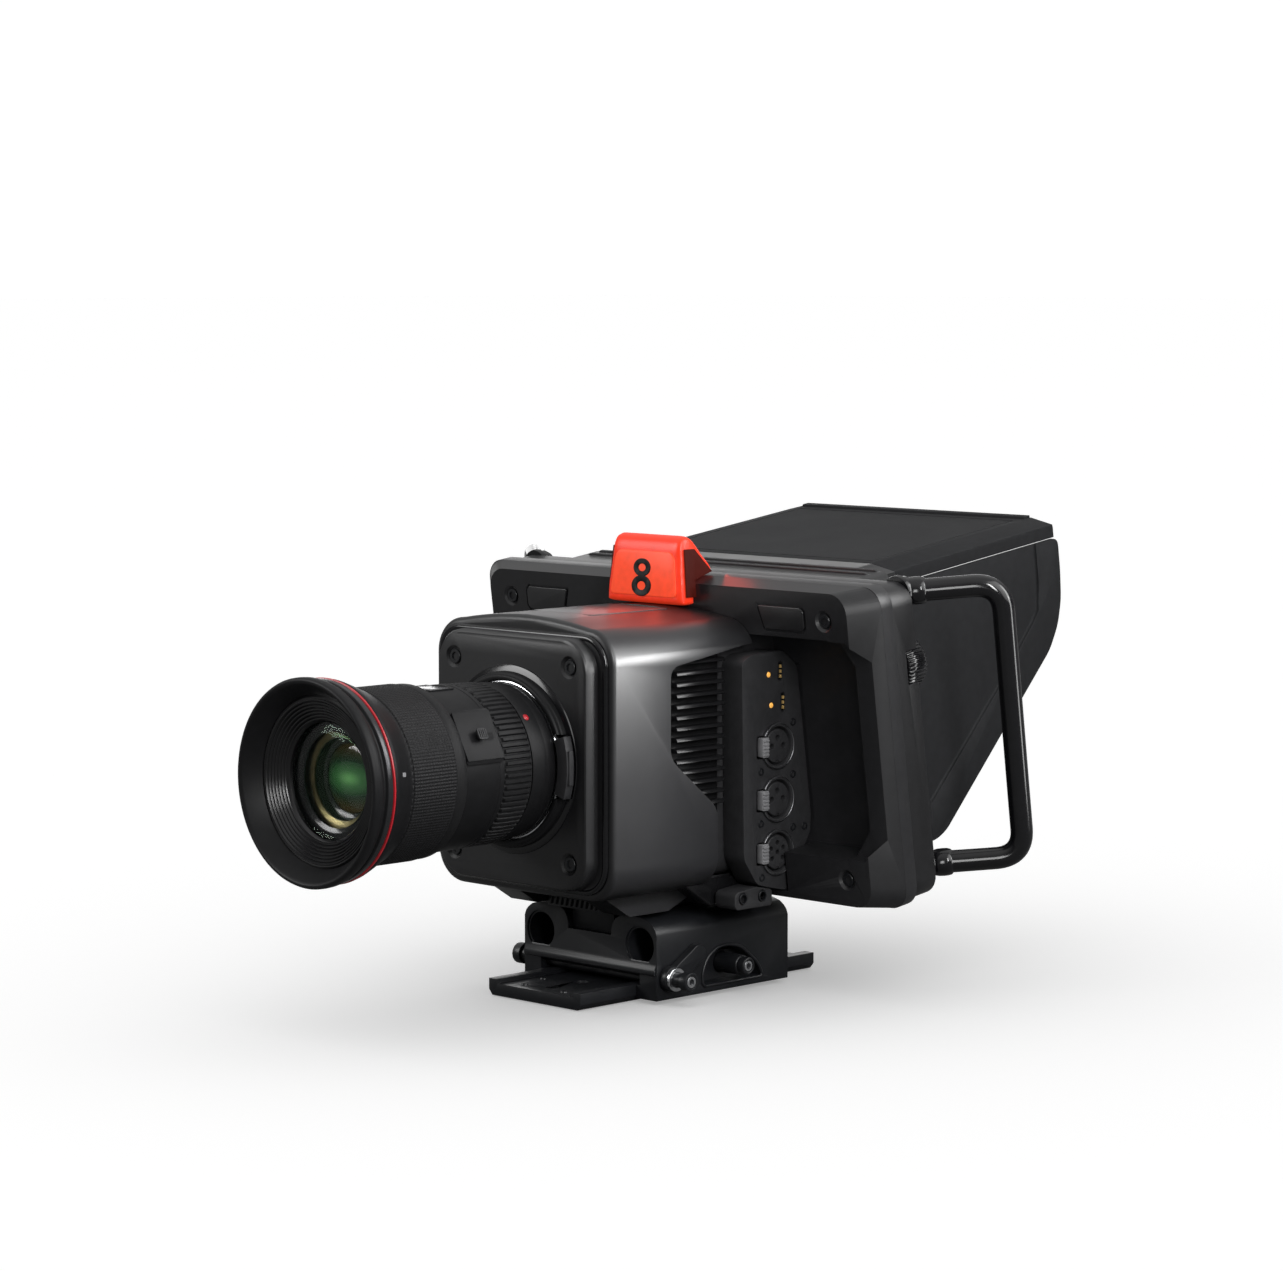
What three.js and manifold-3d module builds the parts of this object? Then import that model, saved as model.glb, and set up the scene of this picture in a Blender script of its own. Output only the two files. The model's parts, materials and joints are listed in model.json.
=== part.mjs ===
// A cinema camera rig: camera body with its lens, a tilted monitor housing with a folding sun hood, side
// handles and a tally lamp, carried by a rod block that slides on a dovetail tray.
// Millimetres. +Z is up, the lens looks along -Y, and the origin is the middle of the tray's bottom face.
import * as THREE from 'three';
import { mergeVertices } from 'three/addons/utils/BufferGeometryUtils.js';
import { ConvexGeometry } from 'three/addons/geometries/ConvexGeometry.js';
import Module from 'manifold-3d';

const wasm = await Module();
wasm.setup();

// ---- driving dimensions ----
const GAP = 0.3;

const TRAY_HALF_WIDTH = 27.8;
const TRAY_HALF_LENGTH = 71.8;
const TRAY_HEIGHT = 7.1;
const TRAY_HOLES_Y = [-61, -44, 44, 61];
const TRAY_HOLE_R = 3.2;

const BLOCK_FRONT = -39.2;
const BLOCK_REAR = 41.7;
const BLOCK_HALF_WIDTH = 40;
const BLOCK_BOTTOM = 1.3;
const BLOCK_TOP = 36;
const ROD_SPACING = 60;
const ROD_BORE_R = 7.6;
const ROD_Z = 23.7;
const SHAFT_Y = -32.5;
const SHAFT_Z = 10.4;
const SHAFT_R = 3.2;
const PLUNGER_Y = 7;
const PLUNGER_Z = 11.8;
const PLUNGER_R = 4.4;

const BODY_FRONT = -78;
const BODY_HALF_WIDTH = 53.4;
const BODY_BOTTOM = 47.5;
const BODY_TOP = 160.5;
const BODY_CROWN = 3.5;
const BODY_CORNER = 15;
const WALL = 3;
const CORE_HALF_WIDTH = 46;
const CORE_FRONT = -60;
const FAN_Y = -22.5;
const FAN_Z = 112;

const LENS_Z = 104.2;
const PLATE_FRONT = -85;
const PLATE_HALF_WIDTH = 44.5;
const PLATE_HALF_HEIGHT = 52;
const MOUNT_HOLE_R = 30.3;
const LENS_SIDES = 32;

const PANEL_X = 58;
const XLR_Z = [106.1, 83.5, 60.8];
const XLR_Y = 14.9;

const HOUSING_Y = 4.24;
const HOUSING_Z = 161.69;
const HOUSING_TILT = THREE.MathUtils.degToRad(7.96);
const FACE_HALF_WIDTH = 107;
const FACE_TOP = 12;
const FACE_BOTTOM = -122;
const SIDE_HALF_WIDTH = 117.7;
const SHELL_DEPTH = 16.8;
const BAND_FRONT = 17.2;
const BAND_REAR = 30;
const RIM_REAR = 48;
const BROW_REAR = 61.3;
const SCREEN_REAR = 41.5;

const FLAP_X = 81;
const FLAP_REAR = 170;
const RIGHT_FLAP_W = 43;
const LEFT_FLAP_W = 46;
const TOP_FLAP_W = 64;
const TOP_FLAP_V = 6;

const HANDLE_R = 4.75;
const HANDLE_ANGLE = THREE.MathUtils.degToRad(50);
const HANDLE_REACH = 46.5;
const HANDLE_TOP = 7;
const HANDLE_BOTTOM = -110;
const HANDLE_BEND = 12;

// ---- solids ----
function solid(geometry) {
  const bare = geometry.index ? geometry.toNonIndexed() : geometry.clone();
  bare.deleteAttribute('normal');
  bare.deleteAttribute('uv');
  const merged = mergeVertices(bare, 1e-4);
  const made = new wasm.Manifold(new wasm.Mesh({
    numProp: 3,
    vertProperties: new Float32Array(merged.attributes.position.array),
    triVerts: new Uint32Array(merged.index.array),
  }));
  return made;
}

function geometryOf(manifold) {
  const mesh = manifold.getMesh();
  const geometry = new THREE.BufferGeometry();
  geometry.setAttribute('position', new THREE.BufferAttribute(new Float32Array(mesh.vertProperties), 3));
  geometry.setIndex(new THREE.BufferAttribute(new Uint32Array(mesh.triVerts), 1));
  return geometry;
}

function box(x0, x1, y0, y1, z0, z1) {
  const geometry = new THREE.BoxGeometry(x1 - x0, y1 - y0, z1 - z0);
  geometry.translate((x0 + x1) / 2, (y0 + y1) / 2, (z0 + z1) / 2);
  return solid(geometry);
}

// A cylinder along one axis, from one coordinate to another, with its centre line through (a, b), which are
// the other two coordinates in x, y, z order.
function rod(axis, radius, from, to, a, b, sides = 16) {
  const geometry = new THREE.CylinderGeometry(radius, radius, to - from, sides);
  const middle = (from + to) / 2;
  if (axis === 'x') {
    geometry.rotateZ(-Math.PI / 2);
    geometry.translate(middle, a, b);
  } else if (axis === 'y') {
    geometry.translate(a, middle, b);
  } else {
    geometry.rotateX(Math.PI / 2);
    geometry.translate(a, b, middle);
  }
  return solid(geometry);
}

// An outline in two axes, pushed along the third: 'x' takes (y, z) points, 'y' takes (x, z) and 'z'
// takes (x, y).
function prismGeometry(axis, outline, from, to, curveSegments = 6) {
  const shape = outline instanceof THREE.Shape ? outline : new THREE.Shape(outline.map(toVector));
  const geometry = new THREE.ExtrudeGeometry(shape, { depth: to - from, bevelEnabled: false, curveSegments });
  if (axis === 'x') {
    geometry.applyMatrix4(new THREE.Matrix4().set(0, 0, 1, from, 1, 0, 0, 0, 0, 1, 0, 0, 0, 0, 0, 1));
  } else if (axis === 'y') {
    geometry.applyMatrix4(new THREE.Matrix4().set(1, 0, 0, 0, 0, 0, -1, to, 0, 1, 0, 0, 0, 0, 0, 1));
  } else {
    geometry.translate(0, 0, from);
  }
  return geometry;
}

function prism(axis, outline, from, to, curveSegments) {
  return solid(prismGeometry(axis, outline, from, to, curveSegments));
}

function toVector([a, b]) {
  return new THREE.Vector2(a, b);
}

// Rounded rectangle from (x0, y0) to (x1, y1), with its top edge crowned if asked.
function roundedBox(x0, x1, y0, y1, r, crown = 0) {
  const shape = new THREE.Shape();
  shape.moveTo(x0 + r, y0);
  shape.lineTo(x1 - r, y0);
  shape.absarc(x1 - r, y0 + r, r, -Math.PI / 2, 0);
  shape.lineTo(x1, y1 - r);
  shape.absarc(x1 - r, y1 - r, r, 0, Math.PI / 2);
  if (crown > 0) {
    shape.quadraticCurveTo((x0 + x1) / 2, y1 + 2 * crown, x0 + r, y1);
  }
  shape.absarc(x0 + r, y1 - r, r, Math.PI / 2, Math.PI);
  shape.lineTo(x0, y0 + r);
  shape.absarc(x0 + r, y0 + r, r, Math.PI, Math.PI * 1.5);
  return shape;
}

// Rounded plate along Y, around the Y axis, whose outline grows from its front size to its rear size. Sizes
// are half widths and half heights.
function flaredPlate(front, rear, frontY, rearY, radius) {
  const outline = roundedBox(-front[0], front[0], -front[1], front[1], radius);
  const points = outline.getPoints(4);
  const corners = [];
  points.forEach((p) => {
    corners.push(new THREE.Vector3(p.x, frontY, p.y));
    corners.push(new THREE.Vector3(p.x * rear[0] / front[0], rearY, p.y * rear[1] / front[1]));
  });
  return solid(new ConvexGeometry(corners));
}

// A ring turned about the lens axis, from closed profile points (radius, y) in either order.
function turned(profile, sides = LENS_SIDES) {
  const points = (profile[0][0] === 0 ? profile : [...profile, profile[0]]).map(toVector);
  if (THREE.ShapeUtils.isClockWise(points)) {
    points.reverse();
  }
  const geometry = new THREE.LatheGeometry(points, sides);
  geometry.translate(0, 0, LENS_Z);
  return solid(geometry);
}

function ring(innerR, outerR, front, rear) {
  return turned([[innerR, front], [innerR, rear], [outerR, rear], [outerR, front]]);
}

function union(...solids) {
  return solids.reduce((whole, one) => whole.add(one));
}

function mirrored(manifold) {
  return manifold.mirror([1, 0, 0]);
}

// ---- scene graph ----
const PAINT = {
  body: { color: 0x0d0d0e, roughness: 0.32, metalness: 0 },
  matte: { color: 0x1b1c1d, roughness: 0.62, metalness: 0 },
  anodised: { color: 0x151618, roughness: 0.4, metalness: 0.8 },
  tube: { color: 0x0a0a0b, roughness: 0.15, metalness: 0.2 },
  silver: { color: 0xc9cbce, roughness: 0.25, metalness: 1 },
  rubber: { color: 0x161616, roughness: 0.8, metalness: 0 },
  barrel: { color: 0x121314, roughness: 0.42, metalness: 0.1 },
  red: { color: 0xb3121c, roughness: 0.35, metalness: 0 },
  tally: { color: 0xf2351c, roughness: 0.3, metalness: 0 },
  smoke: { color: 0x2a1410, roughness: 0.2, metalness: 0 },
  glass: { color: 0x1d2b22, roughness: 0.05, metalness: 0 },
  screen: { color: 0x050608, roughness: 0.08, metalness: 0 },
  board: { color: 0x14402a, roughness: 0.6, metalness: 0 },
  tab: { color: 0x5c5d60, roughness: 0.45, metalness: 0 },
};

const rig = new THREE.Group();
const housing = new THREE.Group();
housing.position.set(0, HOUSING_Y, HOUSING_Z);
housing.rotation.x = HOUSING_TILT;
housing.updateMatrixWorld(true);
rig.add(housing);

function add(name, manifold, paint, parent = rig) {
  const mesh = new THREE.Mesh(geometryOf(manifold), new THREE.MeshStandardMaterial(PAINT[paint]));
  mesh.name = name;
  parent.add(mesh);
  return mesh;
}

// ---- base ----
function trayPlate() {
  const w = TRAY_HALF_WIDTH;
  const floor = 5.2;
  const rim = 22.5;
  const half = [[w - 2, 0], [w, 2.4], [w, TRAY_HEIGHT], [rim, TRAY_HEIGHT], [rim, floor]];
  const outline = [...half, ...half.map(([x, z]) => [-x, z]).reverse()];
  let plate = prism('y', outline, -TRAY_HALF_LENGTH, TRAY_HALF_LENGTH);
  TRAY_HOLES_Y.forEach((y) => {
    plate = plate.subtract(rod('z', TRAY_HOLE_R, -1, 9, 0, y, 12));
  });
  return plate;
}

function rodBlock() {
  const half = [
    [28.2, 7.6], [28.2, 2.3], [27.3, BLOCK_BOTTOM], [BLOCK_HALF_WIDTH, BLOCK_BOTTOM],
    [BLOCK_HALF_WIDTH, 29], [38, 32.5], [33, 35.2], [24, BLOCK_TOP], [16.5, 34.6], [13.6, 31], [13, 26.3],
  ];
  const outline = [...half, ...half.map(([x, z]) => [-x, z]).reverse()];
  let block = prism('y', outline, BLOCK_FRONT, BLOCK_REAR);
  [-1, 1].forEach((side) => {
    block = block.subtract(rod('y', ROD_BORE_R, -50, 50, side * ROD_SPACING / 2, ROD_Z, 24));
  });
  const underNose = [[BLOCK_FRONT - 1, 12], [BLOCK_FRONT, 12], [BLOCK_FRONT + 9, 7], [BLOCK_FRONT - 1, 7]];
  block = block.subtract(prism('x', underNose, -30, 30));
  block = block.subtract(rod('x', SHAFT_R + 0.4, -60, 60, SHAFT_Y, SHAFT_Z, 16));
  return block.subtract(plungerPocket());
}

function plungerPocket() {
  const outline = [[-11, 4.7], [-11, 10], [-8, 16], [-2, 19.6], [5, 19.9], [12, 18], [22, 10], [25, 4.7]];
  const bore = rod('x', PLUNGER_R + 0.4, 29, 34, PLUNGER_Y, PLUNGER_Z, 16);
  return union(prism('x', outline, 33, 41), bore);
}

function clampShaft() {
  const shaft = rod('x', SHAFT_R, -50, 50, SHAFT_Y, SHAFT_Z);
  const collar = rod('x', 4.6, -50.5, -46, SHAFT_Y, SHAFT_Z);
  return union(shaft, collar);
}

function clampLever() {
  const reach = 15;
  const rise = 9;
  const eye = rod('x', 5.4, 40.4, 44, SHAFT_Y, SHAFT_Z, 20);
  const tip = rod('x', 4, 40.4, 44, SHAFT_Y + reach, SHAFT_Z + rise, 16);
  const across = [-rise, reach].map((v) => v / Math.hypot(reach, rise) * 3.8);
  const arm = prism('x', [
    [SHAFT_Y - across[0], SHAFT_Z - across[1]], [SHAFT_Y + reach - across[0], SHAFT_Z + rise - across[1]],
    [SHAFT_Y + reach + across[0], SHAFT_Z + rise + across[1]], [SHAFT_Y + across[0], SHAFT_Z + across[1]],
  ], 40.4, 44);
  return union(eye, tip, arm).subtract(rod('x', SHAFT_R + GAP, 39, 46, SHAFT_Y, SHAFT_Z));
}

function shaftCap() {
  const head = rod('x', 4.1, 50.3, 54.2, SHAFT_Y, SHAFT_Z, 20);
  return head.subtract(rod('x', 1.8, 52.4, 55, SHAFT_Y, SHAFT_Z, 6));
}

function plungerCap() {
  const head = rod('x', 3.8, 46.3, 49.6, PLUNGER_Y, PLUNGER_Z, 20);
  return head.subtract(rod('x', 1.6, 48, 50, PLUNGER_Y, PLUNGER_Z, 6));
}

function neckRiser() {
  const foot = box(-12.6, 12.6, -37, 35, 26.6, 37);
  const head = box(-19.5, 19.5, -45, 14, 36.4, BODY_BOTTOM - GAP);
  return union(foot, head);
}

function addBase() {
  add('tray_plate', trayPlate(), 'anodised');
  add('rod_block', rodBlock(), 'anodised');
  add('clamp_shaft', clampShaft(), 'anodised');
  add('clamp_lever', clampLever(), 'anodised');
  add('clamp_cap_screw', shaftCap(), 'silver');
  add('release_plunger', rod('x', PLUNGER_R, 31, 46, PLUNGER_Y, PLUNGER_Z, 20), 'anodised');
  add('release_cap_screw', plungerCap(), 'silver');
  add('neck_riser', neckRiser(), 'anodised');
}

// ---- body ----
// Everything on the housing's side of a plane parallel to its front face.
function behindFace(w) {
  const geometry = new THREE.BoxGeometry(400, 300, 500);
  geometry.translate(0, 150 + w, 0);
  geometry.applyMatrix4(housing.matrixWorld);
  return solid(geometry);
}

const SIDE_NOTCH = [[-16.1, 30], [40, 30], [40, 150], [3, 150], [-44.4, 143], [-44.4, 105], [-16.1, 82]];

function bodyShell() {
  const r = BODY_CORNER;
  const bevel = 2.6;
  const halfWidth = BODY_HALF_WIDTH - bevel;
  const bottom = BODY_BOTTOM + bevel;
  const top = BODY_TOP - bevel;
  const outline = roundedBox(-halfWidth, halfWidth, bottom, top, r - bevel, BODY_CROWN);
  const geometry = new THREE.ExtrudeGeometry(outline, {
    depth: 100, curveSegments: 6, bevelThickness: bevel, bevelSize: bevel, bevelSegments: 2,
  });
  geometry.rotateX(Math.PI / 2);
  geometry.translate(0, BODY_FRONT + 100 + bevel, 0);
  const inside = roundedBox(
    -BODY_HALF_WIDTH + WALL, BODY_HALF_WIDTH - WALL, BODY_BOTTOM + WALL, BODY_TOP - WALL, r - WALL);
  const cheek = [[-65.5, 50], [-6, 50], [-6, 47], [-28, 38], [-51, 38], [-65.5, 47]];
  let shell = union(solid(geometry), prism('x', cheek, 20, 36), prism('x', cheek, -36, -20));
  shell = shell.subtract(prism('y', inside, -90, 60));
  [[44, 60], [-60, -44]].forEach(([from, to]) => {
    shell = shell.subtract(prism('x', SIDE_NOTCH, from, to));
  });
  shell = shell.subtract(box(-18.3, 18.3, -56.3, -9, 162.2, 170));
  return shell.subtract(behindFace(-GAP));
}

function coreChassis() {
  const wall = 2.5;
  const x = CORE_HALF_WIDTH;
  let core = prism('y', roundedBox(-x, x, 51, 157, 9), CORE_FRONT, 40, 3);
  const inside = roundedBox(-x + wall, x - wall, 51 + wall, 157 - wall, 9 - wall);
  core = core.subtract(prism('y', inside, CORE_FRONT - 5, 50, 3));
  core = core.subtract(box(-60, 60, -40, -14, 92, 138));
  return core.subtract(behindFace(-GAP));
}

function frontPlate() {
  const hw = PLATE_HALF_WIDTH;
  const hh = PLATE_HALF_HEIGHT;
  const face = flaredPlate([hw, hh], [hw + 1.1, hh + 0.6], PLATE_FRONT, -78.9, 14).translate([0, 0, LENS_Z]);
  const tongueOutline = roundedBox(-50, 50, BODY_BOTTOM + WALL + 0.4, BODY_TOP - WALL - 0.4, 11.6);
  const tongue = prism('y', tongueOutline, -79, -75);
  return union(face, tongue).subtract(rod('y', MOUNT_HOLE_R, -90, -70, 0, LENS_Z, 32));
}

function mountCollar() {
  const collar = turned([[33.5, -90], [33.5, -85.3], [36.8, -85.3], [36.8, -88.6], [35.4, -90]]);
  return collar.subtract(box(28, 45, -95, -80, LENS_Z - 13.2, LENS_Z + 13.2));
}

function lensRelease() {
  const shape = new THREE.Shape();
  const reach = 0.33;
  shape.absarc(0, 0, 39.8, -reach, reach, false);
  shape.absarc(0, 0, 34.2, reach, -reach, true);
  return prism('y', shape, -91, -87).translate([0, 0, LENS_Z]);
}

function ventGrille() {
  const fins = [];
  for (let z = 84; z < 148; z += 4.6) {
    fins.push(box(46.6, 51.6, -43.9, -10, z, z + 1.7));
  }
  [-43.9, -27.5, -11.6].forEach((y) => {
    fins.push(box(46.4, 47.6, y, y + 1.6, 80, 149));
  });
  const window = [[-10, 78.2], [-10, 147.6], [-44, 142.6], [-44, 105.8]];
  return union(...fins).intersect(prism('x', window, 46, 52));
}

function fanFrame() {
  const [y0, z0, half] = [FAN_Y, FAN_Z, 25];
  const frame = box(29, 41, y0 - half, y0 + half, z0 - half, z0 + half);
  const hollow = frame.subtract(rod('x', 23.6, 28, 42, y0, z0, 24));
  const strut = box(29, 30.4, y0 - half + 1, y0 + half - 1, z0 - 1.5, z0 + 1.5);
  return union(hollow, strut, rod('x', 8, 29, 30.4, y0, z0, 12));
}

function fanRotor() {
  const [y0, z0] = [FAN_Y, FAN_Z];
  const blades = [rod('x', 10, 30.8, 40, y0, z0, 20)];
  for (let i = 0; i < 7; i += 1) {
    const blade = new THREE.BoxGeometry(7.5, 15, 1.2);
    blade.rotateY(0.5);
    blade.translate(35.4, 15, 0);
    blade.rotateX(i * 2 * Math.PI / 7);
    blade.translate(0, y0, z0);
    blades.push(solid(blade));
  }
  return union(...blades);
}

function addBody() {
  add('body_shell', bodyShell(), 'body');
  add('core_chassis', coreChassis(), 'matte');
  add('front_plate', frontPlate(), 'body');
  add('mount_collar', mountCollar(), 'barrel');
  add('lens_release', lensRelease(), 'matte');
  add('vent_grille_right', ventGrille(), 'body');
  add('vent_grille_left', mirrored(ventGrille()), 'body');
  add('top_hatch', box(-18, 18, -56, -9.3, 162.5, 163.5), 'body');
  add('sensor_block', box(-22, 22, -74.6, -63, LENS_Z - 20, LENS_Z + 20), 'anodised');
  add('main_board', box(-24, -22.4, -58, -2, 60, 150), 'board');
  add('fan_frame', fanFrame(), 'matte');
  add('fan_rotor', fanRotor(), 'matte');
}

// ---- lens ----
function lensCore() {
  return turned([
    [25, -182.5], [25, -82], [29.7, -82], [29.7, -89.3], [31.6, -89.3], [32.4, -94], [33, -103.5],
    [29.5, -103.5], [29.5, -184.5], [27, -184.5],
  ]);
}

function lensRim() {
  return turned([
    [39.6, -197], [34.6, -189.5], [33.6, -186.6], [41, -186.6], [41, -189.5], [40.2, -190.3], [42.2, -193],
    [42, -196.4], [41.4, -197],
  ]);
}

function frontCone() {
  return turned([[22.6, -184.9], [28, -184.9], [33.2, -186.4], [33.2, -189.6]]);
}

function frontGlass() {
  const dome = [[22.3, -183], [18, -185], [12, -186.6], [6, -187.5], [0, -187.8]];
  return turned([[0, -180], [22.3, -180], ...dome], 24);
}

const SWITCH_ANGLE = THREE.MathUtils.degToRad(28);

// A box on the lens barrel: r is out from the axis, t along the surface, turned up from +X by an angle.
function onBarrel(r0, r1, y0, y1, halfWidth, angle) {
  const geometry = new THREE.BoxGeometry(r1 - r0, y1 - y0, 2 * halfWidth);
  geometry.translate((r0 + r1) / 2, (y0 + y1) / 2, 0);
  geometry.rotateY(-angle);
  geometry.translate(0, 0, LENS_Z);
  return solid(geometry);
}

function switchBarrel() {
  const tube = ring(29.8, 34, -141.7, -120.2);
  const panel = onBarrel(31.5, 35.6, -141, -121, 12, SWITCH_ANGLE);
  const pocket = onBarrel(33, 40, -138.4, -124.6, 9.3, Math.PI / 2);
  return union(tube, panel).subtract(pocket);
}

function addLens() {
  add('lens_rim', lensRim(), 'barrel');
  add('accent_ring', ring(34, 41.2, -186.3, -185.1), 'red');
  add('front_barrel', turned([[29.8, -184.8], [29.8, -172.3], [36.6, -172.3], [40.4, -184.8]]), 'barrel');
  add('focus_ring', ring(29.8, 36, -172, -142), 'rubber');
  add('switch_barrel', switchBarrel(), 'barrel');
  add('focus_mode_switch', onBarrel(35.9, 37.2, -133.4, -128.6, 2.4, SWITCH_ANGLE), 'matte');
  add('distance_window', onBarrel(33.3, 34.3, -138, -125, 8.9, Math.PI / 2), 'glass');
  add('zoom_ring', ring(29.8, 33.6, -119.9, -103.8), 'rubber');
  add('lens_core', lensCore(), 'barrel');
  add('mount_ring', ring(30, 33, -89, -86.2), 'silver');
  add('front_cone', frontCone(), 'matte');
  add('front_glass', frontGlass(), 'glass');
}

// ---- connector side ----
const PORT_OUTLINE = [
  [-6.6, 143], [-5.1, 59.5], [3, 48], [20.4, 43.9], [31.7, 50], [31.6, 60.8], [36, 67.2], [36.6, 74.5],
  [27.4, 139.6], [18, 146.6], [-0.5, 145.8],
];

// The outline moved outwards from its own middle by about the given distance.
function grown(outline, distance) {
  const total = outline.reduce((sum, p) => [sum[0] + p[0], sum[1] + p[1]], [0, 0]);
  const middle = total.map((v) => v / outline.length);
  return outline.map(([y, z]) => {
    const [dy, dz] = [y - middle[0], z - middle[1]];
    return [y + Math.sign(dy) * distance, z + Math.sign(dz) * distance];
  });
}

function portPanel() {
  let panel = prism('x', PORT_OUTLINE, CORE_HALF_WIDTH + 0.4, PANEL_X);
  XLR_Z.forEach((z) => {
    panel = panel.subtract(rod('x', 8.2, 53, 60, XLR_Y, z, 20));
    panel = panel.subtract(box(54.4, 60, XLR_Y - 12.4, XLR_Y - 5.8, z - 4.9, z + 4.9));
  });
  return panel;
}

function xlrSocket(z) {
  const insert = rod('x', 7.8, 53.3, 58.8, XLR_Y, z, 20);
  const flange = rod('x', 9.8, 58.3, 59.1, XLR_Y, z, 20);
  return union(insert, flange).subtract(box(50, 62, XLR_Y - 13, XLR_Y - 5.9, z - 4.9, z + 4.9));
}

function xlrTab(z) {
  return box(56.4, 60.2, XLR_Y - 10.4, XLR_Y - 6.3, z - 4.3, z + 4.3);
}

function jackPlate() {
  const outline = [[-10.5, 44.4], [-10.5, 40], [-9, 38.4], [12.3, 38.4], [12.3, 45.2], [3, 47.2], [-9, 46]];
  let plate = prism('x', outline, CORE_HALF_WIDTH + 0.4, PANEL_X);
  [-5.6, 6.2].forEach((y) => {
    plate = plate.subtract(rod('x', 1.9, 52, 60, y, 43, 10));
  });
  return plate;
}

function addConnectors() {
  add('port_panel', portPanel(), 'matte');
  XLR_Z.forEach((z, i) => {
    add(`xlr_socket_${i + 1}`, xlrSocket(z), 'matte');
    add(`xlr_tab_${i + 1}`, xlrTab(z), 'tab');
  });
  add('jack_plate', jackPlate(), 'matte');
  add('left_port_panel', prism('x', PORT_OUTLINE, -PANEL_X, -CORE_HALF_WIDTH - 0.4), 'matte');
}

// ---- monitor housing, in the tilted group: x across, y back from its front face, z up along it ----
const DEEP_POCKET = [[45, -8], [95, -8], [104, -20], [104, -90], [95, -102], [45, -102]];
const GRIP_POCKET = [[90, -8.5], [105, -8.5], [119, -23], [119, -87], [105, -101.5], [90, -101.5]];
const WALLS_OF_DEEP = [
  [43.4, -6.4], [96, -6.4], [105.6, -19.4], [105.6, -90.6], [96, -103.6], [43.4, -103.6],
];
const WALLS_OF_GRIP = [
  [88, -6.8], [106, -6.8], [121, -22], [121, -88], [106, -103.2], [88, -103.2],
];
const FACE_MIDDLE = (FACE_TOP + FACE_BOTTOM) / 2;
const FACE_HALF_HEIGHT = (FACE_TOP - FACE_BOTTOM) / 2;

function flaredShell(inset, frontW, rearW) {
  const front = [FACE_HALF_WIDTH - inset, FACE_HALF_HEIGHT - inset];
  const rear = [SIDE_HALF_WIDTH - inset, FACE_HALF_HEIGHT + 1.6 - inset];
  const flare = flaredPlate(front, rear, frontW, 10, 9);
  const outline = roundedBox(-rear[0], rear[0], -rear[1], rear[1], 9);
  return union(flare, prism('y', outline, 9.9, rearW, 4)).translate([0, 0, FACE_MIDDLE]);
}

function portNotch() {
  const geometry = prismGeometry('x', grown(PORT_OUTLINE, 0.5), CORE_HALF_WIDTH - 0.2, PANEL_X + 1.6);
  geometry.applyMatrix4(housing.matrixWorld.clone().invert());
  return solid(geometry);
}

function housingFront() {
  const outer = flaredShell(0, 0, SHELL_DEPTH);
  let shell = outer.subtract(flaredShell(2.6, 2.6, SHELL_DEPTH + 1));
  const cuts = union(prism('y', DEEP_POCKET, -2, 20), prism('y', GRIP_POCKET, -2, 6));
  const walls = union(prism('y', WALLS_OF_DEEP, 0.5, 21.6), prism('y', WALLS_OF_GRIP, 0.5, 7.6));
  const fitted = walls.intersect(flaredShell(0.2, 0, 30));
  [cuts, mirrored(cuts)].forEach((cut, i) => {
    shell = shell.add(i === 0 ? fitted : mirrored(fitted)).subtract(cut);
  });
  return shell.subtract(portNotch()).subtract(mirrored(portNotch()));
}

function housingRear() {
  const band = roundedBox(-SIDE_HALF_WIDTH + 0.7, SIDE_HALF_WIDTH - 0.7, FACE_BOTTOM, FACE_TOP, 9);
  const reach = SIDE_HALF_WIDTH - 3.2;
  const inside = roundedBox(-reach, reach, FACE_BOTTOM + 2.5, FACE_TOP - 2.5, 7);
  const rim = roundedBox(-90, 90, -118.5, 11.5, 5);
  let frame = prism('y', band, BAND_FRONT, BAND_REAR, 4).subtract(prism('y', inside, 10, 27.4, 4));
  frame = union(frame, prism('y', rim, 29, RIM_REAR, 3), prism('y', browOutline(), RIM_REAR - 1, BROW_REAR));
  frame = frame.subtract(box(-82.8, 82.8, 30.9, RIM_REAR + 0.5, -114.6, 3.4));
  const knobHole = rod('y', 12.4, 23.4, 31, 107, -23, 24);
  frame = frame.subtract(knobHole).subtract(mirrored(knobHole));
  [-1, 1].forEach((side) => {
    const lugs = union(box(33, 39.6, BROW_REAR - 1, 65.4, 4, 8), box(60.4, 67, BROW_REAR - 1, 65.4, 4, 8));
    frame = frame.add(side > 0 ? lugs : mirrored(lugs));
  });
  return frame.subtract(rod('x', 1.5, -80, 80, TOP_FLAP_W, TOP_FLAP_V, 12));
}

function browOutline() {
  return [[-81, 3.8], [81, 3.8], [81, 8.4], [68, 11.2], [-68, 11.2], [-81, 8.4]];
}

function knob(side) {
  return rod('y', 11.6, 24, 36, side * 107, -23, 24);
}

// The handle's centre line runs out and back in a plane through the housing's rear edge.
function handlePoint(reach, height) {
  return new THREE.Vector3(105 + reach * Math.sin(HANDLE_ANGLE), 30 + reach * Math.cos(HANDLE_ANGLE), height);
}

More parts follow.
